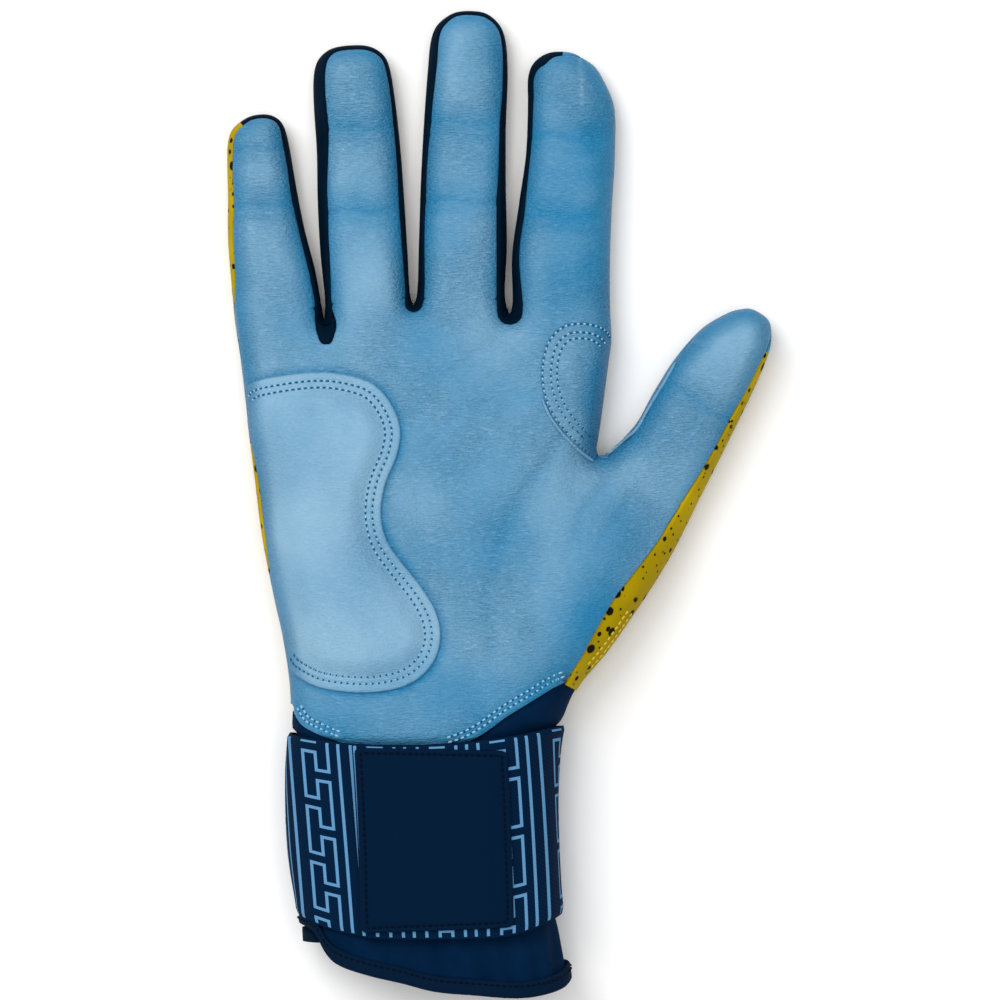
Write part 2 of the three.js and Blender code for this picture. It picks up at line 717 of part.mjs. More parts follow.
// A flat piece of the strap on the palm side, between two places across it
const acrossShares = [0, 0.2, 0.4, 0.6, 0.8, 1];
function strapPiece([from, to], margin) {
  return acrossShares.map((share) => {
    const x = lerp(from, to, share) * palmWidth;
    const high = xyAt(strapTop, 0, x)[1] - margin;
    const low = xyAt(strapBottom, 0, x)[1] + margin;
    return bandRows.map((row) => ({ at: [x, lerp(high, low, row)], side: 1 }));
  });
}

function tabSpots() {
  const [topLeft, topRight, bottomRight, bottomLeft] = tabCornerShares.map(onCuff);
  return acrossShares.map((share) =>
    bandRows.map((row) => ({
      at: mix(mix(topLeft, topRight, share), mix(bottomLeft, bottomRight, share), row),
      side: 1,
    })),
  );
}

// Colours and surfaces
const finishes = {
  leather: { color: 0x6fa8cb, roughness: 0.55, metalness: 0 },
  back: { color: 0xc9ae1e, roughness: 0.75, metalness: 0 },
  stretch: { color: 0x0a2038, roughness: 0.85, metalness: 0 },
  strap: { color: 0x00203e, roughness: 0.8, metalness: 0 },
  foam: { color: 0xd8d8d4, roughness: 0.9, metalness: 0 },
};

const glove = new THREE.Group();
function add(name, geometry, finish) {
  const mesh = new THREE.Mesh(geometry, new THREE.MeshStandardMaterial(finishes[finish]));
  mesh.name = name;
  glove.add(mesh);
}

for (const digit of [...fingers, thumb]) {
  add(`${digit.name}_front`, wall(digitSpots(digit, 1), 0, -leatherWall), "leather");
}
add("little_back", wall(wrappedBack(little, "left"), 0, -fabricWall), "back");
add("thumb_back", wall(wrappedBack(thumb, "right"), 0, -fabricWall), "back");
for (const digit of [ring, middle, index]) {
  add(`${digit.name}_back`, wall(digitSpots(digit, -1), 0, -fabricWall), "back");
}

const around = (digit) => ["left", "tip", "right"].flatMap((part) => digitStations(digit, part));
const leftAndTip = (digit) => ["left", "tipToLeft"].flatMap((part) => digitStations(digit, part));
const tipAndRight = (digit) => ["tipToRight", "right"].flatMap((part) => digitStations(digit, part));
add("little_fourchette", strip(tipAndRight(little), fabricWall), "stretch");
add("ring_fourchette", strip(around(ring), fabricWall), "stretch");
add("middle_fourchette", strip(around(middle), fabricWall), "stretch");
add("index_fourchette", strip(leftAndTip(index), fabricWall), "stretch");
add("index_gusset", strip(digitStations(index, "right"), leatherWall), "leather");
add("thumb_gusset", strip(leftAndTip(thumb), leatherWall), "leather");

add("palm_leather", wall(palmSpots, 0, -leatherWall), "leather");
add("hand_back", wall(handBackSpots(), 0, -fabricWall), "back");
add("palm_gusset", strip(palmGussetStations(), leatherWall), "leather");
add("web_little_ring", strip(webStations(0), fabricWall), "stretch");
add("web_ring_middle", strip(webStations(1), fabricWall), "stretch");
add("web_middle_index", strip(webStations(2), fabricWall), "stretch");
add("heel_overlay", wall(heelSpots, heelOutside, heelInside), "leather");
add("heel_foam", wall(foamSpots, overlayGap + foamHeight, overlayGap), "foam");
add("crotch_overlay", wall(crotchSpots, overlayGap + leatherWall, overlayGap), "leather");
add("palm_welt", welt(palmWeltShares.map(onHand), weltRadius + overlayGap), "leather");
add("thumb_welt", welt(thumbWeltPlaces, weltRadius + overlayGap), "leather");

add("cuff_sleeve", wall(sleeveSpots(), ({ depth }) => -depth, ({ depth }) => -depth - cuffWall), "stretch");
add("cuff_binding", ringSolid(bindingGrid()), "strap");
add("cuff_underlap", wall(underlapSpots(), -underlapDepth, -underlapDepth - fabricWall), "stretch");
const bandInside = ({ climb }) => bandLevel + climb;
const bandOutside = (spot) => bandInside(spot) + elasticWall;
add("strap_band", wall(bandSpots(), bandOutside, bandInside), "strap");
add("loop_pad", wall(strapPiece(loopSpanShares, padMargin), loopLevel + padWall, loopLevel), "strap");
add("hook_pad", wall(strapPiece(hookSpanShares, padMargin), hookLevel + padWall, hookLevel), "strap");
add("strap_end", wall(strapPiece(endSpanShares, seamGap), endLevel + elasticWall, endLevel), "strap");
add("strap_tab", wall(tabSpots(), tabLevel + tabWall, tabLevel), "strap");

// The origin is under the middle of the glove
const bounds = new THREE.Box3().setFromObject(glove);
const centre = bounds.getCenter(new THREE.Vector3());
glove.position.set(-centre.x, -centre.y, -bounds.min.z);

export default glove;
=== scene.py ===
import functools
import math

import bpy
import numpy as np
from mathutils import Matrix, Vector
from mathutils.geometry import delaunay_2d_cdt
from mathutils.kdtree import KDTree


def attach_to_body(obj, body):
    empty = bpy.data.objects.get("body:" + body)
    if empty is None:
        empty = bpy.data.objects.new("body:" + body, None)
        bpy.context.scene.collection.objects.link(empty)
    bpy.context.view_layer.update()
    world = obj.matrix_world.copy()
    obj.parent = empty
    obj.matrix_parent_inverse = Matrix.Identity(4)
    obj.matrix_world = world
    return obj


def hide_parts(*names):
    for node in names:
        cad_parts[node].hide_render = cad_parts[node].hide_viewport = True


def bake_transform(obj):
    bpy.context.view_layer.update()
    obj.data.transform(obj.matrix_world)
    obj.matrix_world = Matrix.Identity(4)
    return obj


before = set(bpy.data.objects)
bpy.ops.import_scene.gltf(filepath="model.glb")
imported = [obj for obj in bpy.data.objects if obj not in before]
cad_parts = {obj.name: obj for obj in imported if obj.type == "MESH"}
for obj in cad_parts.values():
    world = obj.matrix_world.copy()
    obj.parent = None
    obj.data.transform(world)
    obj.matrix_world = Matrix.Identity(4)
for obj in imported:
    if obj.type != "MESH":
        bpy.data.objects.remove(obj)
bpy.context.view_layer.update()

bl_info = {
    "name": "Batting glove",
    "version": (1, 0, 0),
    "blender": (4, 5, 0),
    "location": "View3D > Sidebar > Glove",
    "description": "A right-hand batting glove that lies on its back, palm up",
    "category": "Object",
}

# Lengths are millimetres and +X is the thumb side. Places are shares of the palm's width and length,
# or of its width and the cuff's length, from the middle of the wrist line.
PALM_WIDTH = 98.0
PALM_LENGTH = 117.0
CUFF_LENGTH = 67.5
WRIST_IN_FRAME = (-18.367, -63.150, 0.0)

# Thickness and width of the rounded border at four levels along the glove
SECTION_Y = (7.02, 64.35, 117.0, 193.6)
SECTION_THICKNESS = (31.0, 24.0, 17.5, 14.5)
SECTION_ROUND = (22.0, 20.0, 10.5, 9.0)
THUMB_THICKNESS = 19.0
THUMB_ROUND = 11.0
DIGIT_ROUND_SHARE = 0.9
DIGIT_GIRTH_SHARE = 0.8
PALM_SIDE_SHARE = 0.54

# Walls of the panels, the bands and rounding of their seams, and the spacing of their points
LEATHER_WALL = 1.1
FABRIC_WALL = 0.9
BACK_BAND = 2.0
WRAP_BAND = 0.05
SEAM_ROLL = 0.75
ROLL_ROWS = (0.2, 0.5, 0.9, 1.5)
PATCH_ROWS = (0.15, 0.4, 0.8, 1.4, 1.9, 2.4, 2.9, 3.4, 4.2)
TAB_ROWS = (0.15, 0.4, 0.8, 1.1, 1.4, 1.7, 2.1)
FOAM_ROWS = (0.3, 0.8)
PANEL_STEP = 1.15
WEB_STEP = 0.6
PATH_STEP = 0.8
PATH_TURN = math.radians(9)
CURVE_STEP = 0.12
WRAP_COLUMNS = 6
# The leather's tone, the share of its lit copy: deep on its wrapped edge and on the side strips, as painted
# shade, and middle on the welts, as part painted light
PAINTED_EDGE_SHADE_TONE, PAINTED_STRIP_SHADE_TONE, WELT_PAINTED_LIGHT_TONE = 0.09, 0.1, 0.6

# Rows of stitches: distances from the edge of the hem, the heel overlay and the crotch overlay, from the
# silhouette on the back, and from the edge of the tab
HEM_ROWS = (1.6, 2.9)
HEEL_ROWS = (2.4, 4.2)
CROTCH_ROWS = (0.5, 2.7, 4.3)
BACK_ROWS = (0.9, 2.1)
BACK_ROWS_SPAN = (19, 33)
TAB_ROW = 1.4
BINDING_ROW = 0.72
BINDING_STITCH_POINTS = 300
# How far the thread stands over the leather, the back and the binding
STITCH_RISE = 0.1
BACK_STITCH_RISE = 0.12
BINDING_STITCH_RISE = 0.38
# The hem's rows end where the strap covers them, and the crotch overlay's inner rows at its lower end
HEM_ROW_ENDS = (-24, 5)
CROTCH_ROW_END = 80.5

# Levels at which the leather and the back start, at the little-finger side and at the thumb side, and how
# far the leather sinks under the strap's edge
LEATHER_FOOT = 8.4, 16
BACK_FOOT = 9.6, 12.5
HEM_DIP = 2.0

# Parts laid on the leather: the rise of the two overlays, the foam under the heel's one, and the welts
HEEL_LIFT = 1.05
CROTCH_LIFT = 0.75
PATCH_GAP = 0.05
FOAM_INSET = 8.5
WELT_RADIUS = 0.42
WELT_SIDES = 12
PALM_WELT_RISE, THUMB_WELT_RISE, THUMB_WELT_GAP = 0.4, 0.2, 0.4

# Levels of the strap's layers over the skin
SLEEVE_DEPTH = 2.0
SLEEVE_WALL = 1.4
BAND_LEVEL = -0.6
BAND_WALL = 1.2
LOOP_LEVEL = 0.65
PAD_WALL = 0.8
HOOK_LEVEL = 1.5
END_LEVEL = 2.8
TAB_LEVEL = 4.3
TAB_WALL = 1.1
# The strap: turns round the cuff at its start, at the band's end and at its tip, the share of it that climbs
# over the loop pad, its height, and the size of its cells
BAND_START, BAND_END, STRAP_TIP = 0.321, -0.6194, -0.8276
CLIMB_SHARE = 0.15
STRAP_HEIGHT = 50.8
STRAP_CELL, STRAP_ROW = 1.3, 1.6
STRAP_PLAIN_EDGE = 0.5
# The loop and hook pads: their spans across, points each way, and distance from the strap's edges
LOOP_SPAN, HOOK_SPAN = (-0.18, 0.13), (-0.175, 0.19)
PAD_POINTS = 40
PAD_MARGIN = 3

# The cuff: points round it and up it, the height of its binding and the section of that binding, as
# depths under the skin and shares of the height
CUFF_POINTS, CUFF_ROWS = 168, 46
CUFF_MIDDLE = 12
FOLDS, FOLD_DEPTH = 19, 0.35
SLEEVE_TOP = 0.15 * PALM_LENGTH
BINDING_HEIGHT = 4.3
BINDING_SECTION = (
    (0.15, 1), (-0.2, 0.93), (-0.3, 0.7), (-0.3, 0.35), (-0.25, 0.12), (0.1, -0.02), (1.8, -0.04),
    (3.3, -0.02), (3.9, 0.12), (4, 0.4), (3.8, 0.8), (3.3, 0.85), (3.1, 0.5), (3, 0.3), (1.2, 0.3),
    (0.95, 0.5), (0.9, 0.97),
)
# The tongue: its span round the cuff, its levels in shares of the cuff's length, its points and its depths
TONGUE_SPAN, TONGUE_LEVELS = (-0.06, 0.125), (-0.55, -0.79)
TONGUE_POINTS, TONGUE_ROWS = 26, 14
TONGUE_OUTER, TONGUE_INNER, TONGUE_FLARE = 5.4, 6.3, 5.0

# The meander on the strap, along the wrist and along the strap's height
KEY_PERIOD = 16.3
KEY_STEP = 7.55
KEY_TOP = 3.4
KEY_LINE = 0.8
KEY_LEFT, KEY_RIGHT, SIDE_LINE = 3.5, 10.15, 13.0
KEY_MIDDLE = (KEY_LEFT + KEY_RIGHT) / 2
KEY_TURNS = range(-2, 7)
KEY_BAR_SHARE = 1.63
# Where a line of the meander stands at each side of the palm, and how it leans: X and X per Y
LEFT_MARK, RIGHT_MARK = -34.5, 31.1
LEFT_LEAN, RIGHT_LEAN = -0.081, -0.052
MARK_MARGIN = 5.0

# Speckles of the back: cells to a millimetre, radius and the share of cells left bare
SPECKLES = (0.2, 1.45, 0.5), (0.33, 0.85, 0.45), (0.6, 0.42, 0.6)

# Lights: place, width and power. Camera: lens, sensor, and the half width that it sees, in metres
KEY_LIGHT = (-0.5, 0.52, 1.15), 0.7, 9
TOP_LIGHT = (0.05, 0.0, 2.2), 1.4, 20.5
WORLD_LIGHT = 0.42
LENS, SENSOR = 250, 36
SEEN_HALF = 0.1325
CAMERA_X, CAMERA_Y, GLOVE_TOP = 0.0002, 0.0005, 0.018
NEAR_CLIP, FAR_CLIP = 0.01, 20
FLOOR_HALF, FLOOR_LEVEL = 4, -0.0002

# The digits: half widths and the front seam's distance from the silhouette, at shares of the length
STATIONS = (0, 0.2, 0.4, 0.6, 0.8, 0.9, 0.95, 0.98, 1)
DIGITS = {
    "little": {
        "root": (-0.411, 0.969), "length": 53.1, "width": 20, "lean": -6.5, "creases": (29, 44),
        "left": (0.595, 0.585, 0.565, 0.505, 0.455, 0.41, 0.34, 0.21, 0.11),
        "right": (0.575, 0.54, 0.465, 0.42, 0.39, 0.365, 0.33, 0.26, 0.16),
        "left_band": (-0.4, 0.9, 1.2, 1.2, 1.2, 1.2, 1.2, 1.1, 0.9),
        "right_band": (1.2, 1.1, 1.1, 1.1, 1, 0.9, 0.8, 0.9, 1),
    },
    "ring": {
        "root": (-0.171, 0.997), "length": 68, "width": 23, "lean": -3.6, "creases": (24, 46),
        "left": (0.491, 0.509, 0.504, 0.478, 0.478, 0.457, 0.413, 0.33, 0.217),
        "right": (0.504, 0.5, 0.5, 0.491, 0.461, 0.43, 0.391, 0.304, 0.191),
        "left_band": (1.4, 2, 2.5, 2.8, 3, 2.9, 2.7, 1.9, 1.2),
        "right_band": (1, 0.9, 0.9, 0.8, 0.7, 0.7, 0.7, 0.8, 1),
    },
    "middle": {
        "root": (0.083, 1.001), "length": 76.6, "width": 23, "lean": 1.5, "creases": (26, 47),
        "left": (0.517, 0.504, 0.5, 0.483, 0.452, 0.426, 0.37, 0.261, 0.148),
        "right": (0.517, 0.517, 0.487, 0.47, 0.474, 0.443, 0.391, 0.3, 0.2),
        "left_band": (1.7, 1.1, 1.1, 1.4, 2.1, 1.9, 1.6, 1.2, 1),
        "right_band": (1.9, 2.3, 1.8, 1.1, 0.8, 0.7, 0.7, 0.8, 1),
    },
    "index": {
        "root": (0.355, 0.983), "length": 67.9, "width": 25, "lean": 1.7, "creases": (24, 45),
        "left": (0.52, 0.536, 0.48, 0.42, 0.416, 0.424, 0.384, 0.304, 0.2),
        "right": (0.524, 0.508, 0.512, 0.528, 0.5, 0.376, 0.288, 0.152, 0.056),
        "left_band": (2.5, 1.5, 1.2, 0.8, 1.1, 1.2, 1.8, 2.4, 1.4),
        "right_band": (-0.4, -0.4, -0.4, -0.4, -0.4, -0.4, -0.4, -0.1, 0.5),
    },
    "thumb": {
        "root": (0.59, 0.585), "length": 53.7, "width": 24, "lean": 30.9, "creases": (25,),
        "left": (0.575, 0.445, 0.452, 0.44, 0.35, 0.233, 0.158, 0.075, 0.033),
        "right": (0.604, 0.571, 0.537, 0.5, 0.446, 0.396, 0.333, 0.288, 0.242),
        "left_band": (0.5, 0.7, 0.7, 0.4, -0.3, -0.4, -0.4, -0.4, -0.4),
        "right_band": (3.6, 2.7, 2, 1.6, 1, 0.4, -0.3, -0.4, -0.4),
    },
}

# Outlines of the hand, each with the front seam's distance from the silhouette
ULNAR = (
    (-0.379, 0.113, -0.4), (-0.398, 0.226, -0.4), (-0.425, 0.328, -0.3), (-0.457, 0.464, 0.8),
    (-0.476, 0.589, 0.7), (-0.495, 0.713, -0.3), (-0.508, 0.815, -0.4), (-0.525, 0.917, -0.4),
)
CROTCHES = ((-0.289, 0.956, 1.9), (-0.046, 0.99, 1.9), (0.216, 0.969, 2.9))
# The first web's drop into the palm: its top over the web, its lowest level, how much it leans and swells,
# and how far it runs on under the leather
DROP_TOP = 3.4
DROP_BOTTOM = 105.0
DROP_LEAN = 0.85
DROP_SWELL = 1.07
DROP_ROUNDNESS = 0.62
WEB_UNDERLAP = 0.8
RADIAL = (
    (0.492, 0.911, -0.4), (0.484, 0.856, -0.4), (0.465, 0.736, -0.4), (0.457, 0.69, -0.3), (0.452, 0.66, 0.2),
    (0.457, 0.647, 0.5),
)
THUMB_SIDE = (
    (0.698, 0.489, 4), (0.654, 0.417, 5.2), (0.603, 0.347, 6.3), (0.546, 0.276, 6.9),
    (0.481, 0.199, 6), (0.398, 0.113, 3),
)
ULNAR_CUFF = ((-0.345, -1.05), (-0.352, -0.726), (-0.381, -0.432), (-0.387, -0.137), (-0.379, 0.059))
THUMB_CUFF = (
    (0.357, 0.039), (0.341, -0.157), (0.341, -0.432), (0.354, -0.687), (0.382, -0.934), (0.386, -1.05),
)
FRONT_HEM = (
    (-0.368, 0.063), (-0.345, 0.036), (-0.3, 0.016), (-0.25, -0.001), (-0.2, -0.014), (-0.068, -0.016),
    (0.03, -0.018), (0.09, -0.005), (0.145, 0.019), (0.208, 0.056), (0.27, 0.087), (0.333, 0.119),
    (0.365, 0.132),
)
BACK_HEM = ((-0.37, 0.079), (-0.2, 0.066), (0, 0.063), (0.2, 0.072), (0.375, 0.1))
HEEL = (
    (-0.512, 0.792), (-0.48, 0.81), (-0.419, 0.823), (-0.297, 0.834), (-0.216, 0.826), (-0.149, 0.805),
    (-0.1, 0.757), (-0.078, 0.702), (-0.087, 0.646), (-0.119, 0.578), (-0.13, 0.51), (-0.114, 0.453),
    (-0.073, 0.403), (-0.014, 0.34), (0.022, 0.283), (0.03, 0.226), (0.005, 0.17), (-0.049, 0.131),
    (-0.122, 0.113), (-0.216, 0.111), (-0.297, 0.123), (-0.35, 0.145), (-0.395, 0.17),
)
CROTCH_ARCH = (
    (0.497, 0.912), (0.487, 0.921), (0.451, 0.94), (0.406, 0.947), (0.36, 0.94), (0.319, 0.906), (0.3, 0.845),
    (0.305, 0.786), (0.329, 0.732), (0.37, 0.687), (0.414, 0.65), (0.446, 0.63),
)
THUMB_WELT = (0.01, 0.1, 0.2, 0.3, 0.4, 0.5, 0.58)
PALM_WELT = ((0.302, 0.775), (0.325, 0.73), (0.366, 0.685), (0.41, 0.648), (0.442, 0.627))
# Side strips: the body, the stretches of the silhouette that it covers, its node and its finish
STRIPS = (
    ("little", ("little right",), "little_fourchette", "knit"),
    ("hand", ("web 0",), "web_little_ring", "knit"),
    ("ring", ("ring left", "ring right"), "ring_fourchette", "knit"),
    ("hand", ("web 1",), "web_ring_middle", "knit"),
    ("middle", ("middle left", "middle right"), "middle_fourchette", "knit"),
    ("hand", ("web 2",), "web_middle_index", "knit"),
    ("index", ("index left",), "index_fourchette", "knit"),
    ("index", ("index right",), "index_gusset", "leather"),
    ("hand", ("radial",), "palm_gusset", "leather"),
    ("thumb", ("thumb left",), "thumb_gusset", "leather"),
)
# The strap's two edges, the tab's corners and the cuff's hem
STRAP_TOP = ((-0.41, 0.035), (-0.203, -0.004), (0.054, -0.008), (0.216, 0.02), (0.39, 0.07))
STRAP_BOTTOM = (
    (-0.41, -0.66), (-0.349, -0.699), (-0.215, -0.754), (0.053, -0.765), (0.214, -0.749), (0.316, -0.691),
    (0.39, -0.65),
)
TAB_CORNERS = ((-0.195, -0.02), (0.197, -0.031), (0.213, -0.722), (-0.174, -0.742))
FRONT_CUFF_HEM = (
    (-0.384, -0.7), (-0.35, -0.718), (-0.315, -0.74), (-0.3, -0.768), (-0.284, -0.816), (-0.263, -0.855),
    (-0.235, -0.879), (-0.157, -0.914), (-0.076, -0.941), (0.008, -0.973), (0.118, -0.988), (0.24, -1),
    (0.31, -0.988), (0.36, -0.965), (0.385, -0.934),
)
BACK_CUFF_HEM = ((-0.384, -0.7), (-0.2, -0.81), (0, -0.86), (0.2, -0.9), (0.39, -0.934))

# Soft mounds and hollows of the palm: place in shares, two radii, turn in degrees and height
MOUNDS = (
    (0.33, 0.43, 17, 30, -30, 1.5), (-0.27, 0.4, 18, 34, 8, 0.8), (0.07, 0.5, 13, 26, 8, -1.3),
    (-0.42, 0.88, 8, 8, 0, 0.7), (-0.17, 0.9, 9, 8, 0, 0.8), (0.08, 0.92, 9, 8, 0, 0.8),
    (0.33, 0.9, 9, 9, 0, 0.5), (0, 0.1, 30, 8, 0, -0.5),
)
# Heights and wave lengths of the skin's swells and wrinkles, and the wave that bends the wrinkles
SWELL, SMALL_SWELL, WRINKLE = (0.35, 24), (0.1, 9), (0.14, 4.6)
BENDING_WAVE = 17
# Creases at a digit's joint: how far each lies along the digit from the joint, and its depth. Their width,
# the hollow round them and the bulge above them, as height, place and width
JOINT_CREASES = ((0, 0.5), (-3.4, 0.25), (3.1, 0.22))
JOINT_CREASE_WIDTH = 1.25
JOINT_HOLLOW, JOINT_HOLLOW_WIDTH = 0.3, 3.5
JOINT_BULGE, JOINT_BULGE_PLACE, JOINT_BULGE_WIDTH = 0.35, 8, 6
DIGIT_REACH = 0.62
# The leather's tone, the share of its lit copy: its middle, the painted light and shade that relief adds,
# what random waves add, the painted shade of creases, and the depth of its painted dark edge
TONE_MIDDLE = 0.475
PAINTED_LIGHT_OF_RELIEF, TONE_OF_WAVES, PAINTED_SHADE_OF_CREASES = 0.09, 0.1, 0.28
TONE_WAVE = 31
PAINTED_SHADE_OF_PALM_CREASES = 0.3
PAINTED_EDGE_SHADE = 0.6, 6.8
# Places where light and shade are painted into the leather's colour, deeper for painted shade and paler for
# painted light, laid out as the mounds are
PAINTED_LIGHT_AND_SHADE_PLACES = (
    (0.4, 0.22, 14, 16, -30, -0.35), (0.38, 1.3, 14, 36, 2, -0.28), (-0.05, 0.07, 40, 12, 0, -0.14),
    (0.33, 0.43, 19, 32, -30, -0.12), (0.09, 1.35, 12, 30, 0, -0.04), (0.12, 0.75, 30, 16, 0, -0.06),
    (0.73, 0.77, 16, 24, 30, 0.1), (-0.44, 1.19, 14, 34, -6.5, 0.08), (0.5, 0.36, 8, 26, 30, -0.2),
    (0.478, 1.13, 6, 56, 2, -0.24),
)
# Creases of the palm: a line of places, its width and its depth
CREASES = (
    (((0.42, 0.74), (0.3, 0.62), (0.2, 0.47), (0.15, 0.3), (0.17, 0.14)), 1.7, 0.55),
    (((0.3, 0.8), (0.1, 0.75), (-0.06, 0.62)), 1.5, 0.3),
    (((0.22, 0.93), (0.02, 0.83), (-0.16, 0.85)), 1.4, 0.3),
    (((0.31, 0.86), (0.22, 0.84), (0.12, 0.8)), 1.1, 0.3),
    (((0.31, 0.81), (0.21, 0.76), (0.13, 0.7)), 1.1, 0.35),
    (((0.33, 0.76), (0.25, 0.69), (0.19, 0.6)), 1.1, 0.35),
    (((0.6, 0.6), (0.5, 0.5), (0.43, 0.4)), 1.5, 0.4),
    (((0.52, 0.64), (0.42, 0.52), (0.36, 0.38)), 1.6, 0.4),
)


def on_hand(places):
    """Places in millimetres from shares of the palm's width and length."""
    return np.array(places, float) * (PALM_WIDTH, PALM_LENGTH)


def on_cuff(places):
    """Places in millimetres from shares of the palm's width and the cuff's length."""
    return np.array(places, float) * (PALM_WIDTH, CUFF_LENGTH)


def ease(value, low, high):
    """A smooth step from 0 at the low value to 1 at the high one."""
    share = np.clip((value - low) / (high - low), 0, 1)
    return share * share * (3 - 2 * share)


def unit(vectors):
    """The vectors with length 1."""
    return vectors / (np.linalg.norm(vectors, axis=-1, keepdims=True) + 1e-12)


def bell(distance, width):
    """A soft bump of height 1 at no distance."""
    return np.exp(-(distance / width) ** 2)


def sideways(heading):
    """Directions to the left of each heading."""
    return np.column_stack([-heading[:, 1], heading[:, 0]])


def inward_of(outline):
    """Directions into a closed outline at each of its places."""
    ahead = np.roll(outline, -1, axis=0)
    area = (outline[:, 0] * ahead[:, 1] - outline[:, 1] * ahead[:, 0]).sum()
    return sideways(unit(ahead - np.roll(outline, 1, axis=0))) * np.sign(area)


def spline(points, closed=False, steps=40):
    """A centripetal Catmull-Rom curve through the points, and the number of the point each place follows."""
    points = np.array(points, float)
    if closed:
        points = np.vstack([points[-1], points, points[:2]])
    else:
        points = np.vstack([2 * points[0] - points[1], points, 2 * points[-1] - points[-2]])
    curve, numbers = [], []
    for i in range(1, len(points) - 2):
        p = points[i - 1:i + 3]
        chords = np.linalg.norm(np.diff(p[:, :2], axis=0), axis=1)
        knots = np.concatenate([[0], np.cumsum(chords ** 0.5 + 1e-9)])
        share = np.arange(steps) / steps
        t = (knots[1] + share * (knots[2] - knots[1]))[:, None]

        def between(a, b, low, high):
            return a + (b - a) * (t - knots[low]) / (knots[high] - knots[low])

        a = [between(p[j], p[j + 1], j, j + 1) for j in range(3)]
        b = [between(a[j], a[j + 1], j, j + 2) for j in range(2)]
        curve.append(between(b[0], b[1], 1, 2))
        numbers.append(i - 1 + share)
    if not closed:
        curve.append(points[-2:-1])
        numbers.append([len(points) - 3])
    return np.vstack(curve), np.concatenate(numbers)


def resample(curve, step, turn=None, numbers=None, closed=False):
    """Places along a curve, a step apart and nearer where it turns."""
    if closed:
        curve = np.vstack([curve, curve[:1]])
    chords = np.diff(curve[:, :2], axis=0)
    measure = np.linalg.norm(chords, axis=1) / step
    if turn:
        heading = np.unwrap(np.arctan2(chords[:, 1], chords[:, 0]))
        bend = np.abs(np.diff(heading, prepend=heading[0]))
        measure = measure + bend / turn
    total = np.concatenate([[0], np.cumsum(measure)])
    count = max(3, round(total[-1]))
    places = np.linspace(0, total[-1], count + 1)
    if closed:
        places = places[:-1]
    out = np.column_stack([np.interp(places, total, curve[:, i]) for i in range(curve.shape[1])])
    return out if numbers is None else (out, np.interp(places, total, numbers))


def smooth_line(points, step=PATH_STEP):
    """Evenly spaced places on a curve through the points."""
    return resample(spline(points)[0], step)


def to_path(places, path, closed=False):
    """Distance from each place to the path, and the direction from the path to the place."""
    tree = KDTree(len(path))
    for i, (x, y) in enumerate(path):
        tree.insert((x, y, 0), i)
    tree.balance()
    nearest = np.array([tree.find((x, y, 0))[1] for x, y in places])
    distance = np.full(len(places), np.inf)
    inward = np.zeros((len(places), 2))
    for first in (nearest - 1, nearest):
        second = first + 1
        if closed:
            first, second = first % len(path), second % len(path)
        else:
            first, second = np.clip(first, 0, len(path) - 2), np.clip(second, 1, len(path) - 1)
        chord = path[second] - path[first]
        delta = places - path[first]
        share = np.clip((delta * chord).sum(1) / ((chord ** 2).sum(1) + 1e-12), 0, 1)
        away = delta - share[:, None] * chord
        length = np.linalg.norm(away, axis=1)
        closer = length < distance
        distance = np.where(closer, length, distance)
        inward[closer] = away[closer] / (length[closer, None] + 1e-9)
    return distance, inward


def inside(places, outline):
    """True for the places inside a closed outline."""
    x, y = places[:, 0, None], places[:, 1, None]
    a, b = outline, np.roll(outline, -1, axis=0)
    crosses = (a[:, 1] > y) != (b[:, 1] > y)
    at = a[:, 0] + (y - a[:, 1]) / (b[:, 1] - a[:, 1] + 1e-12) * (b[:, 0] - a[:, 0])
    return (crosses & (x < at)).sum(1) % 2 == 1


def in_digit(digit, places):
    """Places as seen from a digit's root: along it and across it."""
    lean = math.radians(digit["lean"])
    delta = places - on_hand(digit["root"])
    return (delta[:, 0] * math.sin(lean) + delta[:, 1] * math.cos(lean),
            delta[:, 0] * math.cos(lean) - delta[:, 1] * math.sin(lean))


def on_digit(digit, along, across):
    """Places by their distances along and across a digit from its root."""
    lean = math.radians(digit["lean"])
    x, y = on_hand(digit["root"])
    return np.stack([x + across * math.cos(lean) + along * math.sin(lean),
                     y - across * math.sin(lean) + along * math.cos(lean)], axis=-1)


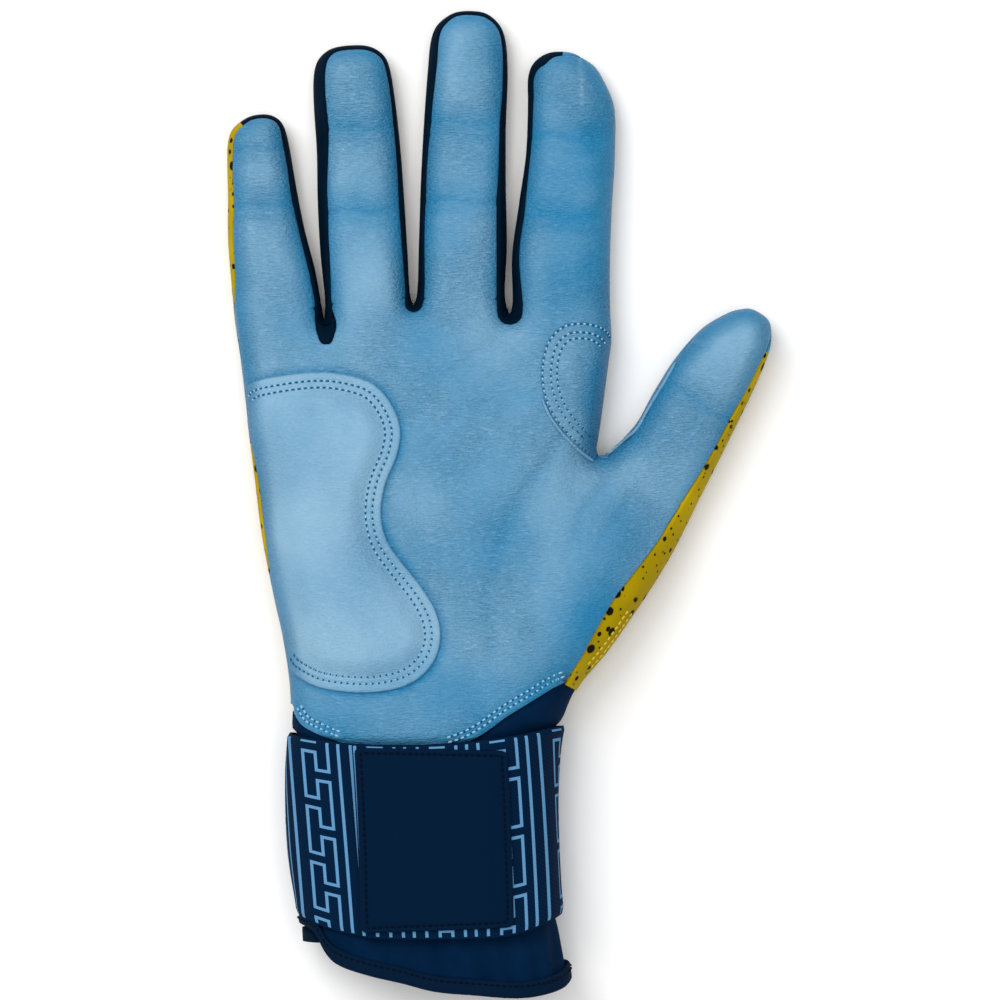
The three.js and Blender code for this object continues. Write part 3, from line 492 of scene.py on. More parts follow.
@functools.cache
def silhouette():
    """The glove's outline from the cuff's little-finger side over the digits to its thumb side.

    Returns its places, inward normals, front bands and a label for each place. A band is the front seam's
    distance from the outline, or, below nought, how far it turns under the edge, in radians."""
    anchors, labels = [], []

    def add(places, bands, name):
        for place, band in zip(places, bands):
            anchors.append((*place, band))
            labels.append(name)

    add(on_cuff(ULNAR_CUFF), [0.6] * len(ULNAR_CUFF), "ulnar")
    add(on_hand(np.array(ULNAR)[:, :2]), np.array(ULNAR)[:, 2], "ulnar")
    for i, (name, digit) in enumerate(DIGITS.items()):
        along = np.array(STATIONS) * digit["length"]
        if name == "thumb":
            add(on_hand(np.array(RADIAL)[:, :2]), np.array(RADIAL)[:, 2], "radial")
        left = on_digit(digit, along, -np.array(digit["left"]) * digit["width"])
        right = on_digit(digit, along, np.array(digit["right"]) * digit["width"])
        add(left, digit["left_band"], name + " left")
        add(right[::-1], digit["right_band"][::-1], name + " right")
        if i < len(CROTCHES):
            add(on_hand([CROTCHES[i][:2]]), [CROTCHES[i][2]], f"web {i}")
    add(on_hand(np.array(THUMB_SIDE)[:, :2]), np.array(THUMB_SIDE)[:, 2], "thumb side")
    add(on_cuff(THUMB_CUFF), [3] * len(THUMB_CUFF), "thumb side")
    curve, numbers = spline(anchors)
    curve, numbers = resample(curve, CURVE_STEP, None, numbers)
    weights = bell(np.arange(-30, 31), 11 * math.sqrt(2))
    padded = np.pad(curve, ((30, 30), (0, 0)), "edge")
    soft = np.column_stack([np.convolve(padded[:, i], weights / weights.sum(), "valid") for i in range(3)])
    tips = np.zeros(len(curve))
    for digit in DIGITS.values():
        along, across = in_digit(digit, curve[:, :2])
        near_tip = ease(along / digit["length"], 0.75, 0.9) * (np.abs(across) < digit["width"])
        tips = np.maximum(tips, near_tip)
    curve = curve + tips[:, None] * (soft - curve)
    path, numbers = resample(curve, PATH_STEP, PATH_TURN, numbers)
    inward = -sideways(unit(np.gradient(path[:, :2], axis=0)))
    tags = []
    for number in numbers:
        before = labels[min(int(number), len(labels) - 1)]
        after = labels[min(int(number) + 1, len(labels) - 1)]
        if before.split()[0] == after.split()[0]:
            tags.append(before if number % 1 < 0.5 else after)
        elif before.split()[0] in DIGITS:
            tags.append(after if after.split()[0] not in DIGITS else before)
        else:
            tags.append(before)
    for name, side, share, other in (("little", "left", 0.975, "right"), ("thumb", "right", 0.86, "left")):
        beyond = in_digit(DIGITS[name], path[:, :2])[0] > share * DIGITS[name]["length"]
        for i in np.flatnonzero(beyond):
            if tags[i] == f"{name} {side}":
                tags[i] = f"{name} {other}"
    return path[:, :2], inward, path[:, 2], tags


@functools.cache
def front_seam():
    """The front seam's places, and how far it drops below the web between the little and the ring finger."""
    path, inward, bands, _ = silhouette()
    seam = path + inward * np.maximum(bands, 0)[:, None]
    x, y = on_hand(CROTCHES[0][:2])
    low = (seam[:, 1] < y + DROP_TOP) & (np.abs(seam[:, 0] - x) < 5) & (seam[:, 1] > y - 9)
    rows = np.arange(np.flatnonzero(low)[0] - 1, np.flatnonzero(low)[-1] + 2)
    turn = np.linspace(0, np.pi, len(rows))
    down = np.sin(turn)
    swell = ease(down, 0, 0.6)
    left, right = seam[rows[0]], seam[rows[-1]]
    middle = (left[0] + right[0]) / 2 + DROP_LEAN * swell
    half = (right[0] - left[0]) / 2 + DROP_SWELL * swell
    top = left[1] + (right[1] - left[1]) * np.linspace(0, 1, len(rows))
    dropped = seam.copy()
    dropped[rows, 0] = middle - half * np.sign(np.cos(turn)) * np.abs(np.cos(turn)) ** DROP_ROUNDNESS
    dropped[rows, 1] = top - (top - DROP_BOTTOM) * down
    return dropped, np.maximum(0, seam[:, 1] - dropped[:, 1])


def field(places):
    """Thickness and width of the rounded border at each place."""
    y = places[:, 1]
    thickness = np.full(len(places), SECTION_THICKNESS[0])
    border = np.full(len(places), SECTION_ROUND[0])
    for i in range(3):
        share = ease(y, SECTION_Y[i], SECTION_Y[i + 1])
        thickness += share * (SECTION_THICKNESS[i + 1] - SECTION_THICKNESS[i])
        border += share * (SECTION_ROUND[i + 1] - SECTION_ROUND[i])
    digits = list(DIGITS.values())
    thumb = digits[-1]
    along, across = in_digit(thumb, places)
    part = ease(along, -thumb["width"], 0) * ease(across, -thumb["width"], -thumb["width"] / 2)
    thickness += part * (THUMB_THICKNESS - thickness)
    border += part * (THUMB_ROUND - border)
    weights, rounds = [], []
    for digit in digits:
        along, across = in_digit(digit, places)
        share = np.clip(along / digit["length"], 0, DIGIT_GIRTH_SHARE)
        left = np.interp(share, STATIONS, digit["left"])
        right = np.interp(share, STATIONS, digit["right"])
        rounds.append(DIGIT_ROUND_SHARE * digit["width"] * np.minimum(left, right))
        weights.append(ease(along, -10, 6) * (1 - ease(np.abs(across) / digit["width"], 0.5, 0.75)))
    weights, rounds = np.array(weights), np.array(rounds)
    total = weights.sum(0)
    mean = (weights * rounds).sum(0) / np.maximum(total, 1e-9)
    border += np.clip(total, 0, 1) * (np.minimum(mean, border) - border)
    return thickness, border


def waves(places, length, seed, count=14):
    """Smooth noise from -1 to 1 with waves of about the given length."""
    random = np.random.default_rng(seed)
    total = np.zeros(len(places))
    for _ in range(count):
        angle, phase = random.uniform(0, 2 * math.pi, 2)
        size = length * random.uniform(0.7, 1.5)
        direction = np.array([math.cos(angle), math.sin(angle)]) * 2 * math.pi / size
        total += np.sin(places @ direction + phase)
    return total / math.sqrt(count)


def mound(places, x, y, wide, long, turn):
    """A soft bump of height 1 at a place, with its two radii and its turn in degrees."""
    delta = places - on_hand((x, y))
    cosine, sine = math.cos(math.radians(turn)), math.sin(math.radians(turn))
    across = (delta[:, 0] * cosine - delta[:, 1] * sine) / wide
    up = (delta[:, 0] * sine + delta[:, 1] * cosine) / long
    return np.exp(-(across ** 2 + up ** 2))


def bent(places, reach):
    """Places moved about by broad waves, which makes straight lines wander."""
    return places + reach * np.column_stack([waves(places, BENDING_WAVE, seed) for seed in (21, 22)])


def on_own(digit, places):
    """The distances along and across a digit, and True where the places lie on it."""
    along, across = in_digit(digit, places)
    return along, across, (along > -4) & (np.abs(across) < DIGIT_REACH * digit["width"])


def creased(places, side, palm=1.0):
    """Depth of the creases of the palm and of the digits' joints."""
    sink = np.zeros(len(places))
    if side > 0:
        strain = bent(places, 0.5)
        for line, width, depth in CREASES:
            path = smooth_line(on_hand(line), 2)
            near, _ = to_path(strain, path)
            ends = np.minimum(*(np.linalg.norm(places - end, axis=1) for end in (path[0], path[-1])))
            sink += palm * depth * bell(near, width) * ease(ends, 0, 9)
    for digit in DIGITS.values():
        along, across, own = on_own(digit, places)
        wavy = along + 0.7 * np.sin(across / 2.7)
        for crease in digit["creases"]:
            for shift, depth in JOINT_CREASES:
                sink += own * side * depth * bell(wavy - crease - shift, JOINT_CREASE_WIDTH)
            sink += own * JOINT_HOLLOW * bell(along - crease, JOINT_HOLLOW_WIDTH)
    return sink


def relief(places, depth, side):
    """How far the soft skin stands over its plain form."""
    lift = SWELL[0] * waves(places, SWELL[1], 5 + side)
    lift += SMALL_SWELL[0] * waves(places, SMALL_SWELL[1], 9 + side)
    drawn = bent(places, 1.6) * (0.8, 0.5)
    lift -= WRINKLE[0] * np.maximum(0, waves(drawn, WRINKLE[1], 31 + side, 9) - 0.4)
    if side > 0:
        for x, y, wide, long, turn, height in MOUNDS:
            lift += height * mound(places, x, y, wide, long, turn)
    for digit in DIGITS.values():
        along, _, own = on_own(digit, places)
        for crease in digit["creases"]:
            lift += own * JOINT_BULGE * bell(along - crease - JOINT_BULGE_PLACE, JOINT_BULGE_WIDTH)
    lift -= creased(places, side)
    return settings().wrinkle_depth * lift * ease(depth, -0.5, 6) * ease(places[:, 1], -2, 16)


def leather_tone_and_painted_light(places, extra=0.0):
    """How much of the leather's lit copy shows, from 0 to 1: painted light on its raised relief, painted
    shade in creases and at its edges, painted light and shade in listed places, and random tone waves.
    """
    depth, _ = to_path(places, silhouette()[0])
    # Painted light on raised relief and painted shade in its hollows; the waves are random tone
    tone = TONE_MIDDLE + PAINTED_LIGHT_OF_RELIEF * relief(places, depth, 1) + extra
    tone += TONE_OF_WAVES * waves(places, TONE_WAVE, 71)
    tone -= PAINTED_SHADE_OF_CREASES * creased(places, 1, PAINTED_SHADE_OF_PALM_CREASES)
    for x, y, wide, long, turn, change in PAINTED_LIGHT_AND_SHADE_PLACES:
        tone += change * mound(places, x, y, wide, long, turn)
    # Painted shade towards the edges, where the surface turns away from the light
    return np.clip(tone * ease(depth, *PAINTED_EDGE_SHADE), 0, 1)


def skin(places, depth, inward, side, offset=0.0, soft=True):
    """Points on the glove's skin, side 1 on the palm and -1 on the back, moved out by an offset."""
    thickness, border = field(places)
    turn = np.arccos(np.clip(1 - depth / border, 0, 1))
    seam = thickness * (1 - PALM_SIDE_SHARE)
    rise = np.where(side > 0, thickness - seam, seam)
    flat, steep = np.cos(turn) / border, np.sin(turn) / rise
    norm = np.hypot(flat, steep)
    flat, steep = flat / norm, steep / norm
    if soft:
        offset = offset + (relief(places, depth, 1) if np.all(np.asarray(side) > 0) else
                           0.5 * relief(places, depth, -1) if np.all(np.asarray(side) < 0) else 0)
    out = places - inward * (flat * offset)[:, None]
    return np.column_stack([out, seam + side * (rise * np.sin(turn) + steep * offset)])


def lifted(places, side, offset=0.0, soft=True):
    """Points on the glove's skin over places in the plane, moved out by an offset."""
    path, normals, _, _ = silhouette()
    depth, inward = to_path(places, path)
    for i in np.flatnonzero(depth < 0.05):
        inward[i] = normals[((path - places[i]) ** 2).sum(1).argmin()]
    return skin(places, depth, inward, side, offset, soft)


def rolled(distance, radius=SEAM_ROLL):
    """How far a panel's edge rolls in, by the distance from its edge."""
    share = 1 - np.clip(distance / radius, 0, 1)
    return -radius * (1 - np.sqrt(1 - share ** 2))


def region(outline, cuts=(), step=PANEL_STEP, rows=ROLL_ROWS):
    """Triangles over the inside of an outline, with rows near its edge and edges along the cuts.

    Returns the places, triangles, distance from the outline and the number of each outline place."""
    inward = inward_of(outline)
    extra = []
    for row in rows:
        ring = outline + inward * row
        near, _ = to_path(ring, outline, closed=True)
        extra.append(ring[(near > 0.96 * row) & inside(ring, outline)])
    low, high = outline.min(0), outline.max(0)
    columns = np.arange(low[0], high[0], step)
    levels = np.arange(low[1], high[1], step * 0.866)
    x, y = np.meshgrid(columns, levels)
    x = x + (np.arange(len(levels)) % 2)[:, None] * step / 2
    grid = np.column_stack([x.ravel(), y.ravel()])
    grid = grid[inside(grid, outline)]
    near, _ = to_path(grid, outline, closed=True)
    extra.append(grid[near > max(rows, default=0) + 0.45 * step])
    extra = np.vstack(extra)
    lines, edges = [], []
    for first, last in cuts:
        ends = [int(np.linalg.norm(outline - end, axis=1).argmin()) for end in (first, last)]
        span = outline[ends[1]] - outline[ends[0]]
        count = max(2, round(np.linalg.norm(span) / step))
        between = outline[ends[0]] + span * np.linspace(0, 1, count + 1)[1:-1, None]
        start = len(outline) + sum(len(line) for line in lines)
        chain = [ends[0], *range(start, start + len(between)), ends[1]]
        edges += list(zip(chain, chain[1:]))
        lines.append(between)
        near, _ = to_path(extra, outline[ends])
        extra = extra[near > 0.35 * step]
    places = np.vstack([outline, *lines, extra])
    found = delaunay_2d_cdt([Vector(p) for p in places], edges, [list(range(len(outline)))], 1, 1e-5)
    number = {old: new for new, olds in enumerate(found[3]) for old in olds}
    points = np.array([tuple(v) for v in found[0]])
    triangles = np.array([face for face in found[2] if len(face) == 3])
    near, _ = to_path(points, outline, closed=True)
    return points, triangles, near, [number.get(i) for i in range(len(outline))]


def ring_inside(outline, inset):
    """A closed line inside an outline, a fixed distance from it."""
    ring = outline + inward_of(outline) * inset
    near, _ = to_path(ring, outline, closed=True)
    return ring[near > 0.97 * inset]


def grid_faces(rows, columns, loop=False):
    """Quads over a grid of numbered points, closed round its rows if it is a loop."""
    i, j = np.meshgrid(np.arange(rows if loop else rows - 1), np.arange(columns - 1), indexing="ij")
    here = (i * columns + j).ravel()
    after = ((i + 1) % rows * columns + j).ravel()
    return np.column_stack([here, after, after + 1, here + 1])


def point_normals(points, faces):
    """A normal for each point, from the faces round it."""
    a, b, c = (points[faces[:, i]] for i in (0, 1, faces.shape[1] - 1))
    normal = np.cross(b - a, c - a)
    total = np.zeros_like(points)
    for i in range(faces.shape[1]):
        np.add.at(total, faces[:, i], normal)
    return unit(total)


def in_frame(points):
    """Points in the frame, in metres."""
    return (np.asarray(points) + WRIST_IN_FRAME) / 1000


def mesh_object(name, points, faces, finishes, slots=None, normals=None, rest=None, tone=None):
    """A mesh object in the frame; its places at rest in millimetres and its leather's tone are attributes."""
    mesh = bpy.data.meshes.new(name)
    mesh.from_pydata(in_frame(points).tolist(), [], [list(map(int, face)) for face in faces])
    mesh.polygons.foreach_set("use_smooth", np.ones(len(mesh.polygons), bool))
    for finish in finishes:
        mesh.materials.append(finish)
    if slots is not None:
        mesh.polygons.foreach_set("material_index", np.asarray(slots, np.int32))
    layer = mesh.attributes.new("rest", "FLOAT_VECTOR", "POINT")
    layer.data.foreach_set("vector", np.asarray(points if rest is None else rest, np.float32).ravel())
    if tone is not None:
        layer = mesh.attributes.new("tone", "FLOAT", "POINT")
        layer.data.foreach_set("value", np.asarray(np.broadcast_to(tone, len(points)), np.float32))
    mesh.update()
    if normals is not None:
        mesh.normals_split_custom_set(normals)
    piece = bpy.data.objects.new(name, mesh)
    bpy.context.scene.collection.objects.link(piece)
    return piece


def shell(name, outer, inner, faces, finishes, normals=None, picked=None, slots=None, rest=None, tone=None):
    """A closed wall between two surfaces that share their faces."""
    if normals is None:
        normals = point_normals(outer, faces)
    if picked is not None:
        faces = faces[picked]
        slots = None if slots is None else slots[picked]
    used, compact = np.unique(faces, return_inverse=True)
    faces = compact.reshape(faces.shape)
    outer, inner, normals = outer[used], inner[used], normals[used]
    count, sides = len(outer), faces.shape[1]
    edges = np.vstack([faces[:, [i, (i + 1) % sides]] for i in range(sides)])
    known = set(map(tuple, edges.tolist()))
    rim = [(b, a, a + count, b + count) for a, b in edges.tolist() if (b, a) not in known]
    points = np.vstack([outer, inner])
    every = faces.tolist() + (faces[:, ::-1] + count).tolist() + rim
    loops = np.vstack([normals[faces.ravel()], -normals[faces[:, ::-1].ravel()]])
    if rim:
        corners = points[np.array(rim)]
        across = unit(np.cross(corners[:, 1] - corners[:, 0], corners[:, 3] - corners[:, 0]))
        loops = np.vstack([loops, np.repeat(across, 4, axis=0)])
    if slots is not None:
        slots = np.concatenate([slots, slots, np.zeros(len(rim), int)])
    if rest is not None:
        rest = np.vstack([rest[used], rest[used]])
    if tone is not None:
        tone = np.tile(tone[used], 2)
    return mesh_object(name, points, every, finishes, slots, loops.tolist(), rest, tone)


def root_cut(digit, side):
    """The two ends of a digit's root line on the silhouette's front or back inset."""
    left = max(0, digit["left_band"][0]) if side > 0 else BACK_BAND
    right = max(0, digit["right_band"][0]) if side > 0 else BACK_BAND
    return (on_digit(digit, 0.0, left - digit["left"][0] * digit["width"]),
            on_digit(digit, 0.0, digit["right"][0] * digit["width"] - right))


def digit_of(places):
    """The number of the digit that each place is on, or -1 for the hand."""
    best, found = np.full(len(places), np.inf), np.full(len(places), -1)
    for i, digit in enumerate(DIGITS.values()):
        along, across = in_digit(digit, places)
        beside = (along > 0) & (along < 1.1 * digit["length"])
        share = np.where(beside, np.abs(across) / digit["width"], np.inf)
        closer = (share < best) & (share < 0.75)
        best, found = np.where(closer, share, best), np.where(closer, i, found)
    return found


def attach(piece, part, nodes):
    """Ties a piece to the hand or the strap's end, or for a digit bakes its place into its points, and hides
    the parts that it replaces.
    """
    if part in DIGITS:
        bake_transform(piece)
    else:
        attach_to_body(piece, part)
    if nodes:
        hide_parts(*nodes)


def colour(code):
    """The linear colour of an sRGB hex code."""
    parts = [int(code[i:i + 2], 16) / 255 for i in (1, 3, 5)]
    return (*(p / 12.92 if p <= 0.04045 else ((p + 0.055) / 1.055) ** 2.4 for p in parts), 1)


def add_node(tree, kind, inputs=None, **values):
    """Adds a node; each input is a constant or the socket that feeds it."""
    node = tree.nodes.new(kind)
    for key, value in values.items():
        setattr(node, key, value)
    for key, value in (inputs or {}).items():
        if isinstance(value, bpy.types.NodeSocket):
            tree.links.new(value, node.inputs[key])
        else:
            node.inputs[key].default_value = value
    return node


def new_material(name, roughness, specular):
    """A material whose shader is returned with its tree and the place on the glove at rest."""
    material = bpy.data.materials.get(name)
    if material:
        bpy.data.materials.remove(material)
    material = bpy.data.materials.new(name)
    material.use_nodes = True
    tree = material.node_tree
    shader = tree.nodes["Principled BSDF"]
    shader.inputs["Roughness"].default_value = roughness
    shader.inputs["Specular IOR Level"].default_value = specular
    rest = add_node(tree, "ShaderNodeAttribute", attribute_name="rest").outputs["Vector"]
    return material, tree, shader, rest


def opaque(value):
    """A colour setting as a node takes it."""
    return (*value, 1)


def lightened(value, factor):
    """A slightly lighter colour: a painted highlight on the raised threads of a weave, and the paler patches
    of a knit's nap.
    """
    return opaque(min(1, factor * part + 0.001) for part in value)


def noise(tree, place, scale, detail, **inputs):
    """A noise texture's value at a place."""
    inputs = {"Vector": place, "Scale": scale, "Detail": detail, **inputs}
    return add_node(tree, "ShaderNodeTexNoise", inputs).outputs["Fac"]


def combined(tree, operation, first, second, **values):
    """A math node's result."""
    return add_node(tree, "ShaderNodeMath", {0: first, 1: second}, operation=operation, **values).outputs[0]


def bump(tree, shader, height, strength, distance, after=None):
    """Puts relief of a depth in millimetres on a shader, over any relief it follows."""
    inputs = {"Height": height, "Strength": strength, "Distance": distance / 1000}
    if after is not None:
        inputs["Normal"] = after
    made = add_node(tree, "ShaderNodeBump", inputs).outputs["Normal"]
    tree.links.new(made, shader.inputs["Normal"])
    return made


def mixed(tree, share, first, second):
    """A colour between two others."""
    node = add_node(tree, "ShaderNodeMix", data_type="RGBA")
    for index, value in ((0, share), (6, first), (7, second)):
        if isinstance(value, bpy.types.NodeSocket):
            tree.links.new(value, node.inputs[index])
        else:
            node.inputs[index].default_value = value
    return node.outputs[2]


def ramp(tree, value, low, high, first=0.0, last=1.0):
    """A value carried over from the span low to high to the span first to last."""
    return add_node(tree, "ShaderNodeMapRange", {"Value": value, "From Min": low, "From Max": high,
                                                 "To Min": first, "To Max": last}).outputs["Result"]


def leather(name, light, dark):
    """Thin goatskin, mixed from a shaded and a lit copy of its colour by the tone attribute, which paints
    light and shade into it; with a fine pebbled grain and short stretch lines.
    """
    material, tree, shader, rest = new_material(name, 0.45, 0.22)
    tone = add_node(tree, "ShaderNodeAttribute", attribute_name="tone").outputs["Fac"]
    share = combined(tree, "ADD", tone, ramp(tree, noise(tree, rest, 0.11, 4.0), 0.3, 0.7, -0.05, 0.05))
    drawn = add_node(tree, "ShaderNodeMapping",
                     {"Vector": rest, "Rotation": (0, 0, -0.45), "Scale": (0.65, 2.5, 1.5)}).outputs["Vector"]
    lines = noise(tree, drawn, 0.85, 3.0, Roughness=0.55, Distortion=0.35)
    furrow = ramp(tree, lines, 0.3, 0.62)
    # Painted shade in the stretch lines' furrows and painted light on their ridges, darker where the bump is
    # low
    share = combined(tree, "ADD", share, ramp(tree, furrow, 0.0, 1.0, -0.06, 0.04), use_clamp=True)
    # Painted light and shade: the tone picks between the shaded copy (dark) and the lit copy (light) of the
    # leather's colour
    tree.links.new(mixed(tree, share, opaque(dark), opaque(light)), shader.inputs["Base Color"])
    grain = add_node(tree, "ShaderNodeTexVoronoi", {"Vector": rest, "Scale": 1.9, "Randomness": 1.0})
    normal = bump(tree, shader, grain.outputs["Distance"], 0.4, 0.2)
    smoothed = ramp(tree, tone, 0.45, 0.8, 1.0, 0.45)
    patches = ramp(tree, noise(tree, rest, 0.04, 1.0), 0.4, 0.6, 0.65, 1.0)
    bump(tree, shader, furrow, combined(tree, "MULTIPLY", smoothed, patches), 0.34, normal)
    return material


def speckled_fabric(name, ground, bright, dots):
    """Coated stretch fabric: olive yellow printed with round dark speckles of three sizes."""
    material, tree, shader, rest = new_material(name, 0.6, 0.04)
    base = mixed(tree, ramp(tree, noise(tree, rest, 0.05, 2.0), 0.4, 0.65), opaque(ground), opaque(bright))
    most = None
    for scale, radius, rare in SPECKLES:
        cells = add_node(tree, "ShaderNodeTexVoronoi", {"Vector": rest, "Scale": scale, "Randomness": 0.9})
        spot = ramp(tree, cells.outputs["Distance"], radius * scale, 0.8 * radius * scale)
        chosen = combined(tree, "GREATER_THAN", cells.outputs["Color"], rare)
        spot = combined(tree, "MULTIPLY", spot, chosen)
        most = spot if most is None else combined(tree, "MAXIMUM", most, spot)
    tree.links.new(mixed(tree, most, base, opaque(dots)), shader.inputs["Base Color"])
    bump(tree, shader, noise(tree, rest, 2.0, 2.0), 0.3, 0.25)
    return material


def knit_fabric(name, shown):
    """Fine navy stretch knit: rows of small ribs and a soft nap."""
    material, tree, shader, rest = new_material(name, 0.8, 0.03)
    nap = ramp(tree, noise(tree, rest, 0.12, 6.0), 0.35, 0.75)
    tree.links.new(mixed(tree, nap, opaque(shown), lightened(shown, 1.4)), shader.inputs["Base Color"])
    ribs = add_node(tree, "ShaderNodeTexWave", {"Vector": rest, "Scale": 1.1, "Distortion": 0.6})
    bump(tree, shader, ribs.outputs["Fac"], 0.4, 0.2)
    return material


def woven(name, shown, lines, depth):
    """Woven elastic or twill: fine diagonal ribs."""
    material, tree, shader, rest = new_material(name, 0.75, 0.03)
    twill = add_node(tree, "ShaderNodeTexWave", {"Vector": rest, "Scale": lines, "Distortion": 0.3},
                     bands_direction="DIAGONAL").outputs["Fac"]
    share = ramp(tree, twill, 0.0, 1.0)
    # Painted highlight: the twill's raised ribs, which the bump raises, are lighter
    tree.links.new(mixed(tree, share, opaque(shown), lightened(shown, 1.25)), shader.inputs["Base Color"])
    bump(tree, shader, twill, 0.4, depth)
    return material


def plain(name, shown, roughness):
    """Thread, foam, pile, tape or painted hole shade: one even colour."""
    material, _, shader, _ = new_material(name, roughness, 0.06)
    shader.inputs["Base Color"].default_value = opaque(shown)
    return material


@functools.cache
def finishes():
    """Every material of the glove, in the colours that are set."""
    shown = settings()
    return {
        "leather": leather("goatskin_blue", shown.lit_leather, shown.shaded_leather),
        "back": speckled_fabric("speckled_fabric", shown.fabric, shown.fabric_bright, shown.speckles),
        "knit": knit_fabric("navy_knit", shown.knit),
        "cuff": knit_fabric("navy_cuff_knit", shown.cuff),
        "elastic": woven("navy_elastic", shown.elastic, 0.55, 0.18),
        "key": woven("key_pattern_yarn", shown.key_lines, 0.9, 0.08),
        "tab": woven("navy_twill", shown.tab, 0.9, 0.1),
        "binding": woven("navy_binding", shown.binding, 0.9, 0.12),
        "loop": plain("loop_pile", shown.loop_pad, 0.95),
        "hook": plain("hook_tape", shown.hook_pad, 0.6),
        "foam": plain("white_foam", shown.foam, 0.9),
        "light thread": plain("pale_blue_thread", shown.pale_thread, 0.6),
        "yellow thread": plain("yellow_thread", shown.yellow_thread, 0.6),
        "navy thread": plain("black_thread", shown.dark_thread, 0.7),
        "hole_shade": plain("painted_hole_dash", shown.painted_hole_shade, 0.9),
    }


def size_setting(name, description, metres):
    """A length that a user can change."""
    return bpy.props.FloatProperty(name=name, description=description, default=metres, min=0, unit="LENGTH")


def colour_setting(name, description, code):
    """A colour that a user can change, given as an sRGB hex code."""
    return bpy.props.FloatVectorProperty(
        name=name, description=description, default=colour(code)[:3], size=3, min=0, max=1, subtype="COLOR")


class GloveSettings(bpy.types.PropertyGroup):
    wrinkle_depth: bpy.props.FloatProperty(
        name="Wrinkles", description="Depth of the leather's mounds and creases", default=1.0, min=0, max=3,
        subtype="FACTOR")
    heel_rise: size_setting("Heel pad", "Height of the pad under the heel overlay", 0.0015)
    stitch_pitch: size_setting("Stitch pitch", "Distance from one stitch to the next", 0.00165)
    stitch_width: size_setting("Thread", "Thickness of the thread", 0.0006)
    hem_stitch: size_setting("Hem stitch", "Length of a stitch on the hem, the tab and the back", 0.00125)
    patch_stitch: size_setting("Overlay stitch", "Length of a stitch on the overlays", 0.0008)
    # The dark gap between two stitches is painted shade in the needle hole
    painted_hole_dash: size_setting("Needle hole", "Length of the dark gap between two stitches", 0.00105)
    # The lit and the shaded copy of the leather's colour, which the tone attribute mixes into painted light
    # and painted shade
    lit_leather: colour_setting("Stretched leather", "Colour of leather that is stretched", "#89B1CA")
    shaded_leather: colour_setting("Deep leather", "Colour of the leather in creases and at edges", "#217EAD")
    fabric: colour_setting("Back", "Colour of the back's fabric", "#A58D00")
    fabric_bright: colour_setting("Bright back", "Colour of the back's brighter patches", "#BA9F00")
    speckles: colour_setting("Speckles", "Colour of the speckles on the back", "#141400")
    knit: colour_setting("Side strips", "Colour of the knit between the fingers", "#001425")
    cuff: colour_setting("Cuff", "Colour of the cuff's knit", "#001C39")
    binding: colour_setting("Binding", "Colour of the binding round the cuff's hem", "#02182F")
    elastic: colour_setting("Strap", "Colour of the strap's elastic", "#001934")
    key_lines: colour_setting("Meander", "Colour of the lines woven into the strap", "#578AB3")
    tab: colour_setting("Tab", "Colour of the tab on the strap", "#001730")
    loop_pad: colour_setting("Loop pad", "Colour of the pile that the strap closes on", "#0A1626")
    hook_pad: colour_setting("Hook pad", "Colour of the hook tape under the strap's end", "#0D1B2E")
    foam: colour_setting("Foam", "Colour of the foam under the heel overlay", "#DADAD6")
    pale_thread: colour_setting("Pale thread", "Colour of the thread on the leather", "#93BDD4")
    yellow_thread: colour_setting("Yellow thread", "Colour of the thread on the back", "#D2B93C")
    dark_thread: colour_setting("Dark thread", "Colour of the thread on the tab and the binding", "#000C1C")
    # Colour of the painted shade in the needle holes between stitches
    painted_hole_shade: colour_setting("Needle holes", "Colour of the leather between two stitches", "#145A80")
    floor_colour: bpy.props.FloatVectorProperty(
        name="Floor", description="Colour of the floor", default=(0.99, 0.99, 0.99), size=3, min=0, max=1,
        subtype="COLOR")


def settings():
    """The sizes and colours of the glove in this scene."""
    return bpy.context.scene.glove_settings


def level_of(line, x):
    """The level of a curve through the places at each X."""
    line = spline(line)[0]
    order = np.argsort(line[:, 0])
    return np.interp(x, line[order, 0], line[order, 1])


def hem_dip(places):
    """How far the leather and the sleeve under it dip to pass under the strap's upper edge."""
    over = places[:, 1] - level_of(on_cuff(STRAP_TOP), places[:, 0])
    return HEM_DIP * (1 - ease(over, -0.4, 1.2))


def above(ulnar_foot, thumb_foot):
    """The places of the silhouette, by number, that lie over a level on each side of the wrist."""
    path, _, _, tags = silhouette()
    feet = {"ulnar": ulnar_foot, "thumb side": thumb_foot}
    return np.array([i for i, tag in enumerate(tags) if path[i, 1] >= feet.get(tag, -math.inf)])


def front_outline():
    """The leather's edge from the hem's little-finger end over the digits to its thumb end, and the hem."""
    own = above(*LEATHER_FOOT)
    return np.vstack([front_seam()[0][own], smooth_line(on_hand(FRONT_HEM))[::-1]]), own


def back_outline():
    """The back's edge over the digits, inside the side strips, and along its hem."""
    path, inward, _, _ = silhouette()
    own = above(*BACK_FOOT)
    return np.vstack([path[own] + inward[own] * BACK_BAND, smooth_line(on_hand(BACK_HEM))[::-1]]), own


def seam_turns(own):
    """The turn of the front and the back seam round the border at places of the silhouette."""
    path, inward, bands, _ = silhouette()
    _, border = field(path[own] + inward[own])
    high = np.where(bands[own] > WRAP_BAND, np.arccos(np.clip(1 - bands[own] / border, 0, 1)),
                    np.minimum(bands[own], -0.05))
    return high, -np.arccos(1 - BACK_BAND / border)


